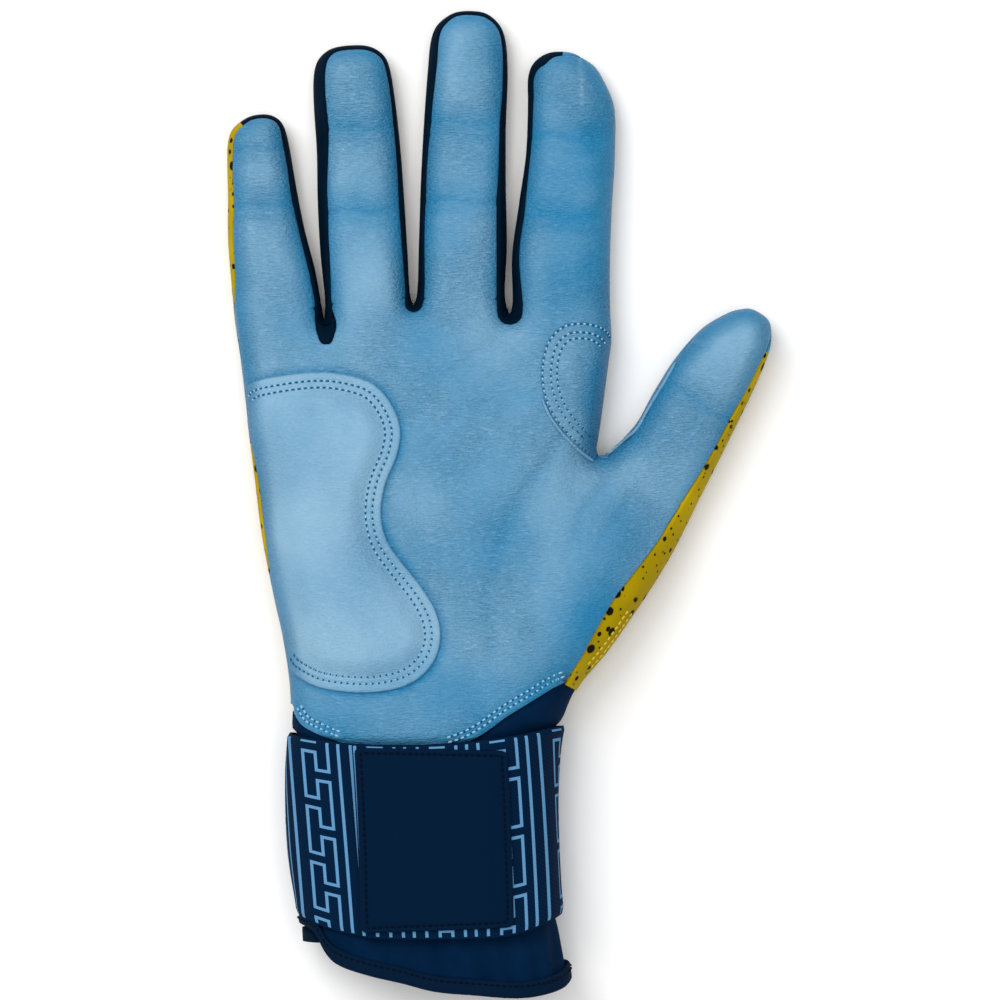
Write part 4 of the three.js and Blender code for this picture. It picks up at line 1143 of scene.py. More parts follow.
def strip(own, high, low, rolls, wall, columns=0):
    """Outer and inner points of a strip round the edge, and the number of columns.

    High and low are the turns of its ends, and rolls tells whether each end rolls in at a seam."""
    path, inward, _, _ = silhouette()
    places, normals = path[own], inward[own]
    thickness, _ = field(places)
    _, border = field(places + normals)
    turns = high[:, None] + np.linspace(0, 1, 49) * (low - high)[:, None]
    rise = thickness[:, None] * np.where(turns > 0, PALM_SIDE_SHARE, 1 - PALM_SIDE_SHARE)
    speed = np.hypot(border[:, None] * np.sin(turns), rise * np.cos(turns))
    arcs = np.cumsum(np.abs(np.diff(turns, axis=1)) * (speed[:, 1:] + speed[:, :-1]) / 2, axis=1)
    arcs = np.column_stack([np.zeros(len(own)), arcs])
    near_ends = np.array([0, 0.2, 0.5, 0.9])
    rows = []
    for i, total in enumerate(arcs[:, -1]):
        stops = (np.linspace(0, total, columns) if columns else
                 np.concatenate([near_ends, np.linspace(1.5, total - 1.5, 9), total - near_ends[::-1]]))
        rows.append((np.interp(stops, arcs[i], turns[i]), stops, total - stops))
    turns, from_front, from_back = (np.array([row[i] for row in rows]) for i in range(3))
    offset = np.zeros_like(turns)
    for distance, roll in ((from_front, rolls[0]), (from_back, rolls[1])):
        offset += np.where(np.broadcast_to(roll, len(own))[:, None], rolled(distance), 0)
    depth = border[:, None] * (1 - np.cos(turns))
    flat = (places[:, None] + normals[:, None] * depth[..., None]).reshape(-1, 2)
    normals = np.repeat(normals, turns.shape[1], axis=0)
    side = np.where(turns.ravel() >= 0, 1, -1)
    return (skin(flat, depth.ravel(), normals, side, offset.ravel(), soft=False),
            skin(flat, depth.ravel(), normals, side, -wall, soft=False), turns.shape[1])


def triangles_of(quads):
    """Two triangles for each quad."""
    return np.vstack([quads[:, [0, 1, 2]], quads[:, [0, 2, 3]]])


def runs_of(flags):
    """First and last numbers of each run of true flags, with the place that follows it."""
    edges = np.flatnonzero(np.diff([0, *map(int, flags), 0]))
    return [(a, min(b, len(flags) - 1)) for a, b in zip(edges[::2], edges[1::2])]


def upward(points, faces, side=1):
    """Turns each face up, or down for side -1."""
    a, b, c = (points[faces[:, i]] for i in range(3))
    wrong = side * np.cross(b - a, c - a)[:, 2] < 0
    faces[wrong] = faces[wrong][:, ::-1]
    return faces


def with_strips(panel, number, own, runs, wall, ends):
    """A panel with strips round the edge, sewn to it without a groove.

    The panel is its outer and inner points, its faces and their owners; ends gives each strip's two turns,
    and which of them joins the panel."""
    outer, inner, faces, owner = panel
    tags = silhouette()[3]
    numbers = {name: i for i, name in enumerate(DIGITS)}
    for first, last in runs:
        rows = np.arange(first, last + 1)
        high, low, joined, columns = ends(own[rows])
        out, back, count = strip(own[rows], high, low, (joined != 0, joined == 0), wall, columns)
        renumber = np.arange(len(out)) + len(outer)
        renumber[np.arange(len(rows)) * count + (count - 1 if joined else 0)] = [number[i] for i in rows]
        quads = renumber[grid_faces(len(rows), count)]
        outer, inner = np.vstack([outer, out]), np.vstack([inner, back])
        part = triangles_of(quads[:, ::-1])
        faces = np.vstack([faces, part])
        owned = np.repeat([numbers.get(tags[i].split()[0], -1) for i in own[rows[:-1]]], count - 1)
        owner = np.concatenate([owner, owned, owned])
    return outer, inner, faces, owner


def split_panel(panel, hand_node, digit_ending, finish, tone=None):
    """Makes one piece for the hand and one for each digit from a whole panel, with its normals kept."""
    outer, inner, faces, owner = panel
    normals = point_normals(outer, faces)
    for i, part in [(-1, "hand"), *enumerate(DIGITS)]:
        node = hand_node if i < 0 else part + digit_ending
        piece = shell(node + "_soft", outer, inner, faces, [finish], normals, owner == i, tone=tone)
        attach(piece, part, [node])


class PalmLeather(bpy.types.Operator):
    """Palm leather and the digits' fronts, cut as one piece and split where the digits bend"""
    bl_idname = "glove.palm_leather"
    bl_label = "Palm leather"

    def execute(self, context):
        outline, own = front_outline()
        places, faces, near, number = region(outline, [root_cut(digit, 1) for digit in DIGITS.values()])
        wrapped = silhouette()[2][own] <= WRAP_BAND
        sewn = to_path(places, outline[:len(own)][~wrapped])[0]
        hem = smooth_line(on_hand(FRONT_HEM))
        hem_near, _ = to_path(places, hem)
        roll = np.where((sewn < near + 0.05) & (sewn < hem_near), rolled(near), 0)
        dip = hem_dip(places)
        shown = ease(dip, 1.2, 0.1)
        roll = roll + shown * 0.35 * bell(hem_near - 1, 0.8) * ease(hem_near, 0, 0.5)
        for row in HEM_ROWS:
            roll = roll - shown * 0.2 * bell(hem_near - row, 0.4)
        outer = lifted(places, 1, roll - dip)
        inner = lifted(places, 1, -LEATHER_WALL - dip)
        faces = upward(outer, faces)
        by_heel, _ = to_path(places, spline(on_hand(HEEL))[0])
        # Painted shadow in a thin line outside the heel overlay's edge, painted shade along the hem, and a
        # painted highlight along the sewn edges
        tone = leather_tone_and_painted_light(places, -0.4 * bell(by_heel, 1.3) - 0.25 * bell(hem_near - 1, 3))
        tone = np.clip(tone + 0.35 * bell(sewn, 0.35), 0, 1)
        panel = outer, inner, faces, digit_of(places[faces].mean(1))

        def ends(rows):
            high, _ = seam_turns(rows)
            return np.zeros(len(rows)), high, 0, WRAP_COLUMNS

        panel = with_strips(panel, number, own, runs_of(wrapped), LEATHER_WALL, ends)
        # The wrapped edge gets a deep tone: painted shade where the leather turns away
        tone = np.concatenate([tone, np.full(len(panel[0]) - len(outer), PAINTED_EDGE_SHADE_TONE)])
        split_panel(panel, "palm_leather", "_front", finishes()["leather"], tone)
        return {"FINISHED"}


class BackPanels(bpy.types.Operator):
    """Speckled back of the hand and of the digits, which comes round the outer edges to the leather"""
    bl_idname = "glove.back_panels"
    bl_label = "Back panels"

    def execute(self, context):
        outline, own = back_outline()
        places, faces, near, number = region(outline, [root_cut(digit, -1) for digit in DIGITS.values()])
        tags = silhouette()[3]
        wrapped = np.array([tags[i] in ("ulnar", "little left", "thumb right", "thumb side") for i in own])
        sewn = to_path(places, outline[:len(own)][~wrapped])[0]
        roll = np.where(sewn < near + 0.05, rolled(near), 0)
        outer = lifted(places, -1, roll)
        inner = lifted(places, -1, -FABRIC_WALL)
        faces = upward(outer, faces, -1)
        panel = outer, inner, faces, digit_of(places[faces].mean(1))

        def ends(rows):
            high, low = seam_turns(rows)
            return high, low, 1, 0

        panel = with_strips(panel, number, own, runs_of(wrapped), FABRIC_WALL, ends)
        split_panel(panel, "hand_back", "_back", finishes()["back"])
        return {"FINISHED"}


class SideStrips(bpy.types.Operator):
    """Knit side strips and webs of the fingers, and leather gussets of the index finger, palm and thumb"""
    bl_idname = "glove.side_strips"
    bl_label = "Side strips"

    def execute(self, context):
        path, inward, bands, tags = silhouette()
        seam, drop = front_seam()
        first = min(i for i, tag in enumerate(tags) if tag == "little right") - 1
        last = max(i for i, tag in enumerate(tags) if tag == "thumb left") + 1
        own = np.arange(first, last + 1)
        high, low = seam_turns(own)
        dropped = drop > 0.3
        for part, names, node, finish in STRIPS:
            wall = LEATHER_WALL if finish == "leather" else FABRIC_WALL
            outer, inner, count = strip(own, high, low, (~dropped[own], True), wall)
            faces = triangles_of(grid_faces(len(own), count)[:, ::-1])
            picked = np.tile(np.repeat([tags[i] in names for i in own[:-1]], count - 1), 2)
            if node == "web_little_ring":
                rows = np.flatnonzero(dropped)
                base = path[rows] + inward[rows] * bands[rows, None]
                under = seam[rows] + WEB_UNDERLAP * inward[rows] * ease(drop[rows], 0.3, 1.5)[:, None]
                places, more, _, _ = region(np.vstack([base, under[::-1]]), step=WEB_STEP, rows=())
                shown = inside(places, np.vstack([base, seam[rows][::-1]]))
                level = rolled(to_path(places, seam[rows])[0]) - np.where(shown, 0, LEATHER_WALL + 0.1)
                start = len(outer)
                outer = np.vstack([outer, lifted(places, 1, level)])
                inner = np.vstack([inner, lifted(places, 1, level - wall)])
                faces = np.vstack([faces, upward(outer, more + start)])
                picked = np.concatenate([picked, np.ones(len(more), bool)])
            normals = point_normals(outer, faces)
            # The leather gussets get a deep tone: painted shade on the glove's sides
            piece = shell(node + "_soft", outer, inner, faces, [finishes()[finish]], normals, picked,
                          tone=np.full(len(outer), PAINTED_STRIP_SHADE_TONE))
            attach(piece, part, [node])
        return {"FINISHED"}


@functools.cache
def sewn_patch(shares):
    """A patch that ends in the hand's side seam: its arch, the seam and both as one outline."""
    arch = smooth_line(on_hand(shares))
    seam = front_seam()[0]
    ends = [int(np.linalg.norm(seam - place, axis=1).argmin()) for place in (arch[-1], arch[0])]
    side = seam[ends[0]:ends[1] + 1] if ends[0] < ends[1] else seam[ends[1]:ends[0] + 1][::-1]
    keep = (to_path(arch, seam)[0] > 0.5) & inside(arch, np.vstack([seam, seam[:1]]))
    arch = arch[keep]
    arch = resample(np.vstack([side[-1:], arch, side[:1]]), PATH_STEP)
    return arch, side, np.vstack([arch, side[1:-1]])


def heel_lift(places):
    """Height of the heel overlay over the palm: its edge lies on the leather and its middle on the pad."""
    arch, side, _ = sewn_patch(HEEL)
    near, by_side = to_path(places, arch)[0], to_path(places, side)[0]
    pad = settings().heel_rise * 1000 + 0.3
    lift = HEEL_LIFT + rolled(near, 0.7) + pad * ease(near, 3.4, 9) * ease(by_side, 2, 12)
    for row in HEEL_ROWS:
        lift = lift - 0.26 * bell(near - row, 0.42)
    lift = lift + 0.12 * bell(near - sum(HEEL_ROWS) / 2, 0.5)
    return lift * ease(by_side, -0.3, 4) + PATCH_GAP + rolled(by_side)


def crotch_lift(places):
    """Height of the crotch overlay over the palm, which sinks at its inner rows of stitches."""
    arch, side, _ = sewn_patch(CROTCH_ARCH)
    near, by_side = to_path(places, arch)[0], to_path(places, side)[0]
    lift = CROTCH_LIFT + rolled(near, 0.6)
    for row in CROTCH_ROWS[1:]:
        lift = lift - 0.22 * bell(near - row, 0.4)
    return (lift + 0.3 * ease(near, 4.3, 8)) * ease(by_side, -0.3, 5) + PATCH_GAP


class Overlays(bpy.types.Operator):
    """Heel overlay over its foam pad, and the overlay between the index finger and the thumb crotch"""
    bl_idname = "glove.overlays"
    bl_label = "Overlays"

    def execute(self, context):
        for node, patch, rise, lighter, radial_shade in (
                ("heel_overlay", sewn_patch(HEEL), heel_lift, 0.26, 0),
                ("crotch_overlay", sewn_patch(CROTCH_ARCH), crotch_lift, 0.15, 0.35)):
            arch, side, outline = patch
            places, faces, _, _ = region(outline, rows=PATCH_ROWS)
            outer = lifted(places, 1, rise(places))
            inner = lifted(places, 1, 0.03 - 0.3 * (1 - ease(to_path(places, side)[0], 0, 1.5)))
            faces = upward(outer, faces)
            edge = to_path(places, arch)[0]
            # Paler overall; painted shade where the cut edge rolls down, and on the crotch overlay painted
            # shade towards the radial edge
            shade = lighter - 0.3 * bell(edge, 0.35) - radial_shade * ease(places[:, 0], 36, 46)
            tone = leather_tone_and_painted_light(places, shade)
            piece = shell(node + "_soft", outer, inner, faces, [finishes()["leather"]], tone=tone)
            attach(piece, "hand", [node])
        places, faces, near, _ = region(ring_inside(sewn_patch(HEEL)[2], FOAM_INSET), rows=FOAM_ROWS)
        top = 0.08 + 0.8 * settings().heel_rise * 1000 * np.sqrt(np.clip(near / 3, 0, 1))
        outer = lifted(places, 1, top)
        inner = lifted(places, 1, 0.04)
        foam = shell("heel_foam_soft", outer, inner, upward(outer, faces), [finishes()["foam"]])
        attach(foam, "hand", ["heel_foam"])
        return {"FINISHED"}


def inset_line(curve, outline, inset):
    """The part of a line beside a curve, inside an outline, that keeps its distance from the curve."""
    normal = sideways(unit(np.gradient(curve, axis=0)))
    if inside(curve + normal * inset, outline).mean() < 0.5:
        normal = -normal
    line = curve + normal * inset
    return line[(to_path(line, curve)[0] > 0.97 * inset) & inside(line, outline)]


def tube(name, path, finish):
    """A round cord of leather along a path, with closed ends."""
    side = unit(np.cross(unit(np.gradient(path, axis=0)), (0, 0, 1)))
    up = np.cross(side, unit(np.gradient(path, axis=0)))
    count, rows = WELT_SIDES, len(path)
    angles = np.linspace(0, 2 * math.pi, count, endpoint=False)[None, :, None]
    sizes = WELT_RADIUS * np.sqrt(np.clip(1 - np.linspace(-1, 1, rows) ** 14, 0.03, 1))
    around = np.cos(angles) * side[:, None] + np.sin(angles) * up[:, None]
    ring = path[:, None] + sizes[:, None, None] * around
    faces = []
    for i in range(rows - 1):
        for j in range(count):
            here, beside = i * count + j, i * count + (j + 1) % count
            faces.append((here, beside, beside + count, here + count))
    faces.append(tuple(range(count))[::-1])
    faces.append(tuple((rows - 1) * count + j for j in range(count)))
    # The welts get a middle tone, part painted light
    return mesh_object(name, ring.reshape(-1, 3), faces, [finish], tone=WELT_PAINTED_LIGHT_TONE)


class Welts(bpy.types.Operator):
    """Rolled leather welt along the thumb crotch, on the palm and up the thumb"""
    bl_idname = "glove.welts"
    bl_label = "Welts"

    def execute(self, context):
        leather_finish = finishes()["leather"]
        palm = lifted(smooth_line(on_hand(PALM_WELT)), 1, PALM_WELT_RISE)
        attach(tube("palm_welt_soft", palm, leather_finish), "hand", ["palm_welt"])
        thumb = DIGITS["thumb"]
        along = np.array(THUMB_WELT)
        band = np.interp(along, STATIONS, thumb["left_band"])
        across = band - np.interp(along, STATIONS, thumb["left"]) * thumb["width"]
        places = on_digit(thumb, along * thumb["length"], across + THUMB_WELT_GAP)
        cord = lifted(smooth_line(places), 1, THUMB_WELT_RISE)
        attach(tube("thumb_welt_soft", cord, leather_finish), "thumb", ["thumb_welt"])
        return {"FINISHED"}


def cuff_sides(y):
    """The silhouette's two sides at levels on the cuff."""
    path, _, _, tags = silhouette()
    kinds = np.array([tag == "ulnar" for tag in tags]), np.array([tag == "thumb side" for tag in tags])
    found = []
    for kind in kinds:
        side = path[kind]
        side = side[np.argsort(side[:, 1])]
        found.append(np.interp(y, side[:, 1], side[:, 0]))
    return found


def cuff_places(turn, y):
    """Places on the cuff and their side: a turn of 0 is the little-finger side and 0.25 the palm."""
    left, right = cuff_sides(y)
    whole = turn - np.floor(turn)
    x = left + (right - left) * (1 - np.cos(2 * math.pi * whole)) / 2
    return np.column_stack([x, y]), np.where(whole < 0.5, 1, -1)


def cuff_skin(turn, y, offset):
    """Points on the cuff. Its silhouette sides are found along X, which keeps the layers apart there."""
    places, side = cuff_places(turn, y)
    left, right = cuff_sides(y)
    from_left, from_right = places[:, 0] - left, right - places[:, 0]
    depth = np.minimum(from_left, from_right)
    inward = np.column_stack([np.where(from_left < from_right, 1.0, -1.0), np.zeros(len(places))])
    return skin(places, depth, inward, side, offset, soft=False)


def hem_level(turn):
    """The level of the cuff's hem at turns round it."""
    places, side = cuff_places(turn, np.full(len(turn), -0.9 * CUFF_LENGTH))
    front, back = (level_of(on_cuff(line), places[:, 0]) for line in (FRONT_CUFF_HEM, BACK_CUFF_HEM))
    return np.where(side > 0, front, back)


def strap_levels(turn):
    """The levels of the strap's two edges at turns round the cuff."""
    places, _ = cuff_places(turn, np.full(len(turn), -0.5 * CUFF_LENGTH))
    return [level_of(on_cuff(line), places[:, 0]) for line in (STRAP_TOP, STRAP_BOTTOM)]


def binding_height(turn):
    """The level of the cuff's hem at turns round it, and the height of the binding over it."""
    hem, foot = hem_level(turn), strap_levels(turn)[1]
    return hem, np.minimum(BINDING_HEIGHT, foot - hem - 0.4)


def outward(points, faces):
    """Turns all faces so that they point away from the middle of the cuff."""
    a, b, c = (points[faces[:, i]] for i in range(3))
    middle = points.mean(0)
    middle[2] = CUFF_MIDDLE
    facing = (np.cross(b - a, c - a) * ((a + c) / 2 - middle)).sum()
    return faces if facing > 0 else faces[:, ::-1]


class Cuff(bpy.types.Operator):
    """Knit cuff sleeve, the binding round its hem and the tongue under the slit"""
    bl_idname = "glove.cuff"
    bl_label = "Cuff"

    def execute(self, context):
        count, rows = CUFF_POINTS, CUFF_ROWS
        turns = np.arange(count) / count
        hem, foot = hem_level(turns), strap_levels(turns)[1]
        end = np.minimum(hem + 1.4, foot - 0.4)
        share = np.linspace(0, 1, rows)
        y = SLEEVE_TOP + share[None] * (end - SLEEVE_TOP)[:, None]
        turn = np.repeat(turns, rows)
        below = foot[:, None] - y
        angles = turns * 2 * math.pi
        folds = FOLD_DEPTH * np.sin(FOLDS * angles + 2 * np.sin(3 * angles))[:, None]
        places, side = cuff_places(turn, y.ravel())
        palm, back = (level_of(on_hand(line), places[:, 0]) for line in (FRONT_HEM, BACK_HEM))
        bare = np.where(side > 0, palm, back) - places[:, 1]
        over = places[:, 1] - level_of(on_cuff(STRAP_TOP), places[:, 0])
        tucked = (side > 0) * ease(places[:, 0], -30, -24) * ease(-places[:, 0], -14, -8)
        tucked = tucked * ease(over, -6, -3) * ease(-over, -6, -2)
        sink = SLEEVE_DEPTH + 2.0 * tucked - 1.5 * ease(bare, 0, 1.5) * ease(over, 0, 1.5) * (1 - tucked)
        sink = sink.reshape(y.shape) - 0.6 * ease(below, 0, 3) - folds * ease(below, 0, 6)
        outer = cuff_skin(turn, y.ravel(), -sink.ravel())
        inner = cuff_skin(turn, y.ravel(), -sink.ravel() - SLEEVE_WALL)
        faces = outward(outer, grid_faces(count, rows, loop=True))
        sleeve = shell("cuff_sleeve_soft", outer, inner, faces, [finishes()["cuff"]])
        attach(sleeve, "hand", ["cuff_sleeve"])

        hem, height = binding_height(turns)
        section = np.array(BINDING_SECTION)
        level = hem[:, None] + section[:, 1] * height[:, None]
        ring = cuff_skin(np.repeat(turns, len(section)), level.ravel(), -np.tile(section[:, 0], count))
        size = len(section)
        faces = []
        for i in range(count):
            for j in range(size):
                after, k = (i + 1) % count, (j + 1) % size
                faces.append((i * size + k, after * size + k, after * size + j, i * size + j))
        binding = mesh_object("cuff_binding_soft", ring, faces, [finishes()["binding"]])
        attach(binding, "hand", ["cuff_binding"])

        across = np.linspace(*TONGUE_SPAN, TONGUE_POINTS)
        up = np.linspace(*TONGUE_LEVELS, TONGUE_ROWS) * CUFF_LENGTH
        corner = 2.2 * np.abs(np.linspace(-1, 1, TONGUE_POINTS)) ** 6
        y = (up[None] + corner[:, None] * np.linspace(0, 1, TONGUE_ROWS)[None]).ravel()
        turn = np.repeat(across, TONGUE_ROWS)
        flare = TONGUE_FLARE * ease(np.repeat(hem_level(across), TONGUE_ROWS) - y, -0.3, 1.1)
        outer = cuff_skin(turn, y, flare - TONGUE_OUTER)
        inner = cuff_skin(turn, y, flare - TONGUE_INNER)
        faces = outward(outer, grid_faces(TONGUE_POINTS, TONGUE_ROWS))
        tongue = shell("cuff_underlap_soft", outer, inner, faces, [finishes()["knit"]])
        attach(tongue, "hand", ["cuff_underlap"])
        return {"FINISHED"}


def meander(across, up):
    """True where the woven lines and keys are, by the distance along the wrist and down the strap."""
    half = KEY_LINE / 2
    a = np.mod(across + half, KEY_PERIOD) - half
    on = (np.abs(a) < half) | (np.abs(a - SIDE_LINE) < half)
    for turn in KEY_TURNS:
        bar = KEY_LEFT if turn % 2 == 0 else KEY_RIGHT
        start = KEY_TOP + turn * KEY_STEP
        end = start + KEY_BAR_SHARE * KEY_STEP
        low, high = min(bar, KEY_MIDDLE), max(bar, KEY_MIDDLE)
        on |= (np.abs(a - bar) < half) & (up > start - half) & (up < end + half)
        for level in (start, end):
            on |= (a > low - half) & (a < high + half) & (np.abs(up - level) < half)
        on |= (np.abs(a - KEY_MIDDLE) < half) & (up > start + KEY_STEP - half) & (up < end + half)
    return on


def cell_lines(marks, low, high, most):
    """Rising grid lines that hold every mark, no more than a given step apart."""
    marks = np.unique(np.round([low, high, *[m for m in marks if low < m < high]], 4))
    return np.concatenate([np.linspace(a, b, max(1, math.ceil((b - a) / most)) + 1)[:-1]
                           for a, b in zip(marks, marks[1:])] + [[high]])


def band_level(turns):
    """Level of the strap's underside: on the sleeve, and near its end up over the loop pad."""
    share = (turns - BAND_START) / (BAND_END - BAND_START)
    return BAND_LEVEL + ease(share, 1 - CLIMB_SHARE, 1) * (END_LEVEL - BAND_LEVEL)


@functools.cache
def strap_run():
    """Turns along the strap from its start under the tab to its free end, X and the distance at each."""
    turns = np.linspace(BAND_START, STRAP_TIP, 900)
    middle = np.full(len(turns), -0.5 * CUFF_LENGTH)
    points = cuff_skin(turns, middle, band_level(turns) + BAND_WALL)
    steps = np.linalg.norm(np.diff(points, axis=0), axis=1)
    front = (turns[1:] > 0.05) | (turns[1:] < -0.55)
    steps = np.where(front, np.abs(np.diff(points[:, 0])), steps)
    return turns, points[:, 0], np.concatenate([[0], np.cumsum(steps)])


@functools.cache
def strap_fit():
    """Distances along the strap and those of its meander, which fits whole periods between the marks."""
    turns, x, run = strap_run()
    left, right = turns > 0, turns < -0.5
    start = float(np.interp(LEFT_MARK, x[left][::-1], run[left][::-1]))
    end = float(np.interp(-RIGHT_MARK, -x[right], run[right]))
    whole = KEY_PERIOD * round((end - start) / KEY_PERIOD)
    far = 6 * KEY_PERIOD
    return ((start - far, start + MARK_MARGIN, end - MARK_MARGIN, end + far),
            (-far, MARK_MARGIN, whole - MARK_MARGIN, whole + far))


def leaned(turn, y):
    """Turns that a straight, leaning line of the weave follows, by its turn at the strap's middle."""
    middle = -0.5 * CUFF_LENGTH
    left, right = cuff_sides(np.full(len(turn), middle))
    own_left, own_right = cuff_sides(y)
    shifts = np.zeros(len(turn))
    for lean, near, far in ((LEFT_LEAN, 0.06, -0.05), (RIGHT_LEAN, -0.56, -0.45)):
        side = np.sign(near - far)
        held = np.maximum(turn * side, near * side) * side
        x = left + (right - left) * (1 - np.cos(2 * math.pi * held)) / 2 + lean * (y - middle)
        share = np.clip((x - own_left) / (own_right - own_left), 0.002, 0.998)
        found = np.arccos(1 - 2 * share) / (2 * math.pi)
        if near < 0:
            found = found - 1
        weight = ease(side * turn, side * far, side * near)
        shifts += weight * (found - held)
    return turn + shifts


class Strap(bpy.types.Operator):
    """Woven elastic strap with its meander, the loop and hook pads and the free end"""
    bl_idname = "glove.strap"
    bl_label = "Strap"

    def execute(self, context):
        turns, _, run = strap_run()
        distances, phases = strap_fit()
        half = KEY_LINE / 2
        lines = (0, KEY_LEFT, KEY_MIDDLE, KEY_RIGHT, SIDE_LINE)
        marks = [np.interp(period * KEY_PERIOD - line + edge, phases, distances)
                 for period in range(-5, 24) for line in lines for edge in (-half, half)]
        split = float(np.interp(-BAND_END, -turns, run))
        columns = cell_lines(marks + [split], 0, run[-1], STRAP_CELL)
        height = STRAP_HEIGHT
        heights = [STRAP_PLAIN_EDGE, height - STRAP_PLAIN_EDGE]
        for turn in KEY_TURNS:
            for level in (turn, turn + KEY_BAR_SHARE - 1):
                heights += [KEY_TOP + level * KEY_STEP - half, KEY_TOP + level * KEY_STEP + half]
        rows = cell_lines(heights, 0, height, STRAP_ROW)
        turn_at = -np.interp(columns, run, -turns)
        top, bottom = strap_levels(turn_at)
        y = top[:, None] + (bottom - top)[:, None] * (rows / height)[None]
        crown = -0.45 * (1 - ease(np.minimum(rows, height - rows), 0, 1.2))
        weave = leaned(np.repeat(turn_at, len(rows)), y.ravel())
        level = band_level(turn_at)[:, None] + np.zeros(len(rows))[None]
        outer = cuff_skin(weave, y.ravel(), (level + BAND_WALL + crown[None]).ravel())
        inner = cuff_skin(weave, y.ravel(), level.ravel())
        faces = outward(outer, grid_faces(len(columns), len(rows)))
        mid_columns = (columns[1:] + columns[:-1]) / 2
        mid_rows = (rows[1:] + rows[:-1]) / 2
        phase = -np.interp(mid_columns, distances, phases)
        along, down = np.meshgrid(phase, mid_rows, indexing="ij")
        marked = meander(along, down) & (down > STRAP_PLAIN_EDGE) & (down < height - STRAP_PLAIN_EDGE)
        slots = marked.ravel().astype(int)
        normals = point_normals(outer, faces)
        rest = np.zeros((len(outer), 3))
        rest[:, 0] = np.repeat(columns, len(rows))
        rest[:, 1] = np.tile(rows, len(columns))
        on_band = np.repeat(mid_columns < split, len(mid_rows))
        both = [finishes()["elastic"], finishes()["key"]]
        band = shell("strap_band_soft", outer, inner, faces, both, normals, on_band, slots, rest)
        attach(band, "hand", ["strap_band"])
        free = shell("strap_end_soft", outer, inner, faces, both, normals, ~on_band, slots, rest)
        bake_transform(free)
        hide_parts("strap_end")
        for node, spans, low, body, finish in (
                ("loop_pad", LOOP_SPAN, LOOP_LEVEL, "hand", "loop"),
                ("hook_pad", HOOK_SPAN, HOOK_LEVEL, "strap_flap", "hook")):
            x = np.linspace(*spans, PAD_POINTS) * PALM_WIDTH
            share = np.linspace(0, 1, PAD_POINTS)
            top = level_of(on_cuff(STRAP_TOP), x) - PAD_MARGIN
            bottom = level_of(on_cuff(STRAP_BOTTOM), x) + PAD_MARGIN
            y = top[:, None] + (bottom - top)[:, None] * share[None]
            places = np.column_stack([np.repeat(x, PAD_POINTS), y.ravel()])
            outer = lifted(places, 1, low + PAD_WALL, soft=False)
            inner = lifted(places, 1, low, soft=False)
            faces = upward(outer, grid_faces(PAD_POINTS, PAD_POINTS))
            pad = shell(node + "_soft", outer, inner, faces, [finishes()[finish]])
            attach(pad, body, [node])
        return {"FINISHED"}


def tab_outline(inset=0.0):
    """The tab's outline with rounded corners."""
    corners = on_cuff(TAB_CORNERS)
    middle = corners.mean(0)
    corners = corners + np.sign(middle - corners) * inset
    radius = max(0.6, 1.6 - inset)
    points = []
    for i in range(4):
        corner, before, after = corners[i], corners[i - 1], corners[(i + 1) % 4]
        first = corner + (before - corner) / np.linalg.norm(before - corner) * radius
        last = corner + (after - corner) / np.linalg.norm(after - corner) * radius
        t = np.linspace(0, 1, 9)[:, None]
        points.append((1 - t) ** 2 * first + 2 * t * (1 - t) * corner + t ** 2 * last)
    return resample(np.vstack(points), PATH_STEP, closed=True)


class Tab(bpy.types.Operator):
    """Plain twill tab sewn on the strap's free end"""
    bl_idname = "glove.tab"
    bl_label = "Tab"

    def execute(self, context):
        outline = tab_outline()
        places, faces, near, _ = region(outline, rows=TAB_ROWS)
        level = TAB_LEVEL + 0.25 * ease(near, 2, 12) - 0.22 * bell(near - TAB_ROW, 0.35)
        outer = lifted(places, 1, level + TAB_WALL + rolled(near, 0.6), soft=False)
        inner = lifted(places, 1, TAB_LEVEL, soft=False)
        faces = upward(outer, faces)
        tab = shell("strap_tab_soft", outer, inner, faces, [finishes()["tab"]])
        attach(tab, "strap_flap", ["strap_tab"])
        return {"FINISHED"}


